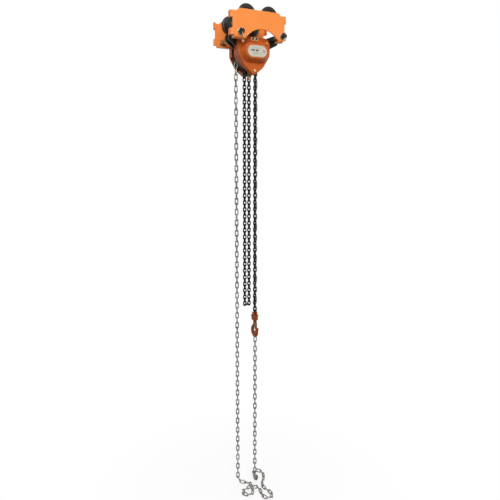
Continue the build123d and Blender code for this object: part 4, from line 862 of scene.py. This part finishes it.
def pawl_coil(angle):
    """The coil round the pawl pin that stands at an angle about the hoist's middle."""
    x = HOIST_X + PAWL_RADIUS * cos(angle)
    z = HOIST_Z + PAWL_RADIUS * sin(angle)
    centre = np.array([x, (PAWL_COIL_FROM + PAWL_COIL_TO) / 2, z])
    length = PAWL_COIL_TO - PAWL_COIL_FROM
    return coil_grid(centre, EAST, UP, NORTH, PAWL_COIL_R, PAWL_COIL_WIRE, PAWL_COIL_TURNS, length)


make_piece(
    "pawl_coils", [pawl_coil(angle) for angle in PAWL_ANGLES], [TUBE] * 2,
    machined_steel, "machined_steel", "trolley_hoist", "pawl_springs",
)


# Load chain: short hardened links, blackened and oiled, each bent from round wire and welded on one side.
# It runs from the hook over the sheave and hangs back in a slack loop to its anchor.
oiled_black = bright_metal(
    "oiled_black_chain", rgb(0.026, 0.025, 0.024), rgb(0.01, 0.0095, 0.009),
    rough=0.38, grime_and_shade=1.2, slow=60.0, quick=330.0, bumpy=0.3,
)
finish_nodes(oiled_black, "load_chain_on_sheave", "load_chain_working", "load_chain_slack")

LOAD_COUNTS = {"load_chain_on_sheave": 5, "load_chain_working": 74, "load_chain_slack": 137}
LOAD_WIRE_R = 0.0025
LOAD_BEND_R = 0.006
WELD_SIDES = 9
WELD_HALF = 0.0026
WELD_SWELL = np.array([1.0, 1.13, 1.17, 1.13, 1.0])


def link_frames(node, links):
    """Middle, long direction and wide direction of each link, from the spread of its points."""
    mesh = cad_nodes[node].data
    points = np.empty(len(mesh.vertices) * 3)
    mesh.vertices.foreach_get("co", points)
    turn = np.array(cad_nodes[node].matrix_world)
    points = points.reshape(-1, 3) @ turn[:3, :3].T + turn[:3, 3]
    points = points.reshape(links, -1, 3)
    middle = (points.min(axis=1) + points.max(axis=1)) / 2
    centred = points - points.mean(axis=1, keepdims=True)
    _, directions = np.linalg.eigh(np.einsum("lpi,lpj->lij", centred, centred))
    return middle, directions[:, :, 2], directions[:, :, 1]


def weld_grids(middle, long, wide, wire_r, half_width):
    """A swollen collar round the middle of one side of each link, where the wire's ends were welded."""
    flat = np.cross(long, wide)
    angle = np.linspace(0.0, 2 * pi, WELD_SIDES, endpoint=False)
    along = np.linspace(-WELD_HALF, WELD_HALF, len(WELD_SWELL))
    ring = np.cos(angle)[:, None] * wide[:, None] + np.sin(angle)[:, None] * flat[:, None]
    side = (middle + wide * half_width)[:, None, None]
    collar = side + along[None, :, None, None] * long[:, None, None]
    return list(collar + (wire_r * WELD_SWELL)[None, :, None, None] * ring[:, None])


def weld_piece(name, runs, wire_r, half_width, material, slot):
    """The welds of all links in the given runs, each run as middles, long and wide directions."""
    grids = [grid for run in runs for grid in weld_grids(*run, wire_r, half_width)]
    make_piece(name, grids, [TUBE] * len(grids), material, slot, "trolley_hoist")


load_runs = [link_frames(node, links) for node, links in LOAD_COUNTS.items()]
weld_piece("load_chain_welds", load_runs, LOAD_WIRE_R, LOAD_BEND_R, oiled_black, "oiled_chain")


# Hand chain: longer links of bright plated wire in one endless loop round the hand wheel.
# Two strands hang down; the lowest links lie slack in a heap on the floor between them.
# Lying links lean left and right by turns; the welds are like the load chain's.
# Its strong crevice darkening is painted shade between the links, with a little dust and oil.
bright_chain = bright_metal(
    "bright_plated_chain", rgb(0.38, 0.375, 0.345), rgb(0.05, 0.048, 0.043),
    rough=0.24, grime_and_shade=2.2, slow=40.0, quick=300.0, bumpy=0.2,
)
finish_nodes(bright_chain, "hand_chain_on_wheel", "hand_chain_strands")

HAND_COUNTS = {"hand_chain_on_wheel": 6, "hand_chain_strands": 162}
HAND_PITCH = 0.0237
HAND_WIRE_R = 0.0025
HAND_BEND_R = 0.006
HAND_HALF = 0.0088
LINK_STEPS = 9
LINK_SIDES = 10
HEAP_LINKS = 34
HEAP_LYING = FLOOR_HEIGHT + HAND_BEND_R * sin(pi / 4) + HAND_WIRE_R
HEAP_LEFT = np.array([-0.0333, 0.0586, -2.0247])
HEAP_LEFT_WAY = radians(-30.0)
HEAP_RIGHT = np.array([0.0437, 0.0301, -2.0259])
HEAP_RIGHT_WAY = radians(45.0)
FOOT_LINKS = 3
FOOT_LEAN = pi / 6
HEAP_TILTS = (80, 45, 45, 25)
HEAP_TILT_LINKS = (0, FOOT_LINKS, HEAP_LINKS - FOOT_LINKS - 1, HEAP_LINKS - 1)
HEAP_CORNERS = np.array(
    [
        (16, 26), (14, 6), (-8, -2), (-32, -10), (-42, -32), (-24, -50), (0, -44), (10, -20), (24, -4),
        (38, -20), (38, -50), (34, -80), (46, -104), (68, -104), (78, -80), (70, -50), (64, -20), (74, 8),
        (92, 34), (105, 64), (102, 96), (80, 108), (62, 88),
    ]
) / 1000
CURVE_STEPS = 24
DRAWING_ROUNDS = 1000


def foot_joints(top, heading):
    """Joints below a strand's end: one link straight down, one leaning out, one down to the floor."""
    ahead = np.array([cos(heading), sin(heading), 0.0])
    hanging = top - HAND_PITCH * UP
    leaning = hanging + HAND_PITCH * (sin(FOOT_LEAN) * ahead - cos(FOOT_LEAN) * UP)
    drop = leaning[2] - HEAP_LYING
    lying = leaning + (HAND_PITCH**2 - drop**2) ** 0.5 * ahead - drop * UP
    return np.stack((top, hanging, leaning, lying))


def lying_joints(corners, links):
    """Joints one pitch apart on the floor: even on a cubic through the corners, then drawn to the pitch.

    Odd and even links are drawn by turns, each moving both its ends by half of what it is too long.
    """
    reach = np.concatenate((2 * corners[:1] - corners[1:2], corners, 2 * corners[-1:] - corners[-2:-1]))
    before, start, end, after = reach[:-3, None], reach[1:-2, None], reach[2:-1, None], reach[3:, None]
    share = np.linspace(0.0, 1.0, CURVE_STEPS, endpoint=False)[None, :, None]
    bend = (2 * before - 5 * start + 4 * end - after) * share**2
    bend = bend + (3 * start - before - 3 * end + after) * share**3
    curve = (start + ((end - before) * share + bend) / 2).reshape(-1, 2)
    curve = np.concatenate((curve, corners[-1:]))
    gone = np.concatenate(([0.0], np.cumsum(np.linalg.norm(np.diff(curve, axis=0), axis=1))))
    even = np.linspace(0.0, gone[-1], links + 1)
    joints = np.stack([np.interp(even, gone, curve[:, axis]) for axis in (0, 1)], axis=-1)
    for turn in range(DRAWING_ROUNDS):
        first = np.arange(turn % 2, links, 2)
        step = joints[first + 1] - joints[first]
        length = np.linalg.norm(step, axis=1, keepdims=True)
        joints[first] += step * (length - HAND_PITCH) / length / 2
        joints[first + 1] -= step * (length - HAND_PITCH) / length / 2
        joints[[0, -1]] = corners[[0, -1]]
    return np.column_stack((joints, np.full(links + 1, HEAP_LYING)))


def heap_frames():
    """Middle, long and wide direction of the heap's links, which tilt left and right by turns.

    Towards the feet the tilt goes over to a quarter turn from the strand's last link.
    """
    left = foot_joints(HEAP_LEFT, HEAP_LEFT_WAY)
    right = foot_joints(HEAP_RIGHT, HEAP_RIGHT_WAY)
    corners = np.concatenate((left[-1:, :2], HEAP_CORNERS, right[-1:, :2]))
    lying = lying_joints(corners, HEAP_LINKS - 2 * FOOT_LINKS)
    joints = np.concatenate((left[:-1], lying, right[-2::-1]))
    long = np.diff(joints, axis=0)
    long /= np.linalg.norm(long, axis=1, keepdims=True)
    place = np.arange(HEAP_LINKS)
    level = np.cross(UP, long[np.clip(place, 1, HEAP_LINKS - 2)])
    level /= np.linalg.norm(level, axis=1, keepdims=True)
    tilt = np.radians(np.interp(place, HEAP_TILT_LINKS, HEAP_TILTS) + 90 * place)
    wide = np.cos(tilt)[:, None] * level + np.sin(tilt)[:, None] * np.cross(long, level)
    return (joints[1:] + joints[:-1]) / 2, long, wide


def link_grids(middle, long, wide):
    """Closed links: round wire carried along two half circles joined by straight sides."""
    turn = np.linspace(-pi / 2, pi / 2, LINK_STEPS)
    turn = np.concatenate((turn, turn + pi))[None, :, None]
    straight = np.repeat([HAND_HALF, -HAND_HALF], LINK_STEPS)[None, :, None]
    outward = np.cos(turn) * long[:, None] + np.sin(turn) * wide[:, None]
    route = middle[:, None] + straight * long[:, None] + HAND_BEND_R * outward
    angle = np.linspace(0.0, 2 * pi, LINK_SIDES, endpoint=False)[None, None, :, None]
    flat = np.cross(long, wide)[:, None, None]
    ring = np.cos(angle) * outward[:, :, None] + np.sin(angle) * flat
    return list(route[:, :, None] + HAND_WIRE_R * ring)


heap_run = heap_frames()
make_piece(
    "hand_chain_pile", link_grids(*heap_run), [RING] * HEAP_LINKS,
    bright_chain, "zinc_chain", "trolley_hoist", "hand_chain_heap",
)
hand_runs = [link_frames(node, links) for node, links in HAND_COUNTS.items()] + [heap_run]
weld_piece("hand_chain_welds", hand_runs, HAND_WIRE_R, HAND_BEND_R, bright_chain, "zinc_chain")


# Hook block: a yoke of two painted halves bolted round the last link, on a pin.
# The forged hook below it swivels on a bearing, and a plated latch on a pin closes its mouth.
# Its orange is the covers' paint at about half the brightness: painted shade on the hook block.
SHADED_HOOK_ORANGE = rgb(0.3, 0.064, 0.01)
SHADED_HOOK_ORANGE_DEEP = rgb(0.2, 0.042, 0.007)
shaded_hook_coat = coated_metal(
    "hook_paint_shaded", SHADED_HOOK_ORANGE, SHADED_HOOK_ORANGE_DEEP, BARE_STEEL,
    rough=0.36, wear=0.25, grime_and_shade=0.5, peel=0.06, gloss=0.12,
)
latch_zinc = bright_metal(
    "olive_latch_plate", rgb(0.22, 0.14, 0.055), rgb(0.13, 0.08, 0.03),
    rough=0.42, grime_and_shade=0.6, slow=60.0, quick=300.0, bumpy=0.2,
)
finish_nodes(shaded_hook_coat, "hook_yoke", "hook")
finish_nodes(black_coat, "yoke_bolts")
finish_nodes(machined_steel, "chain_pin", "latch_pin")
finish_nodes(ground_steel, "swivel_bearing")
finish_nodes(latch_zinc, "hook_latch")


# Latch spring: one tight torsion coil of hard steel wire beside the hook's lug, round the latch pin.
# It is wound cold and pressed between lug and latch, so that the latch springs shut.
LATCH_COIL_R = 0.0023
LATCH_COIL_WIRE = 0.00018
LATCH_COIL_TURNS = 2.0
spring_low, spring_high = np.array(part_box("latch_spring"))
latch_coil = coil_grid(
    (spring_low + spring_high) / 2, NORTH, UP, EAST,
    LATCH_COIL_R, LATCH_COIL_WIRE, LATCH_COIL_TURNS, spring_high[0] - spring_low[0] - 2 * LATCH_COIL_WIRE,
)
make_piece("latch_coil", [latch_coil], [TUBE], machined_steel, "machined_steel", "hook", "latch_spring")
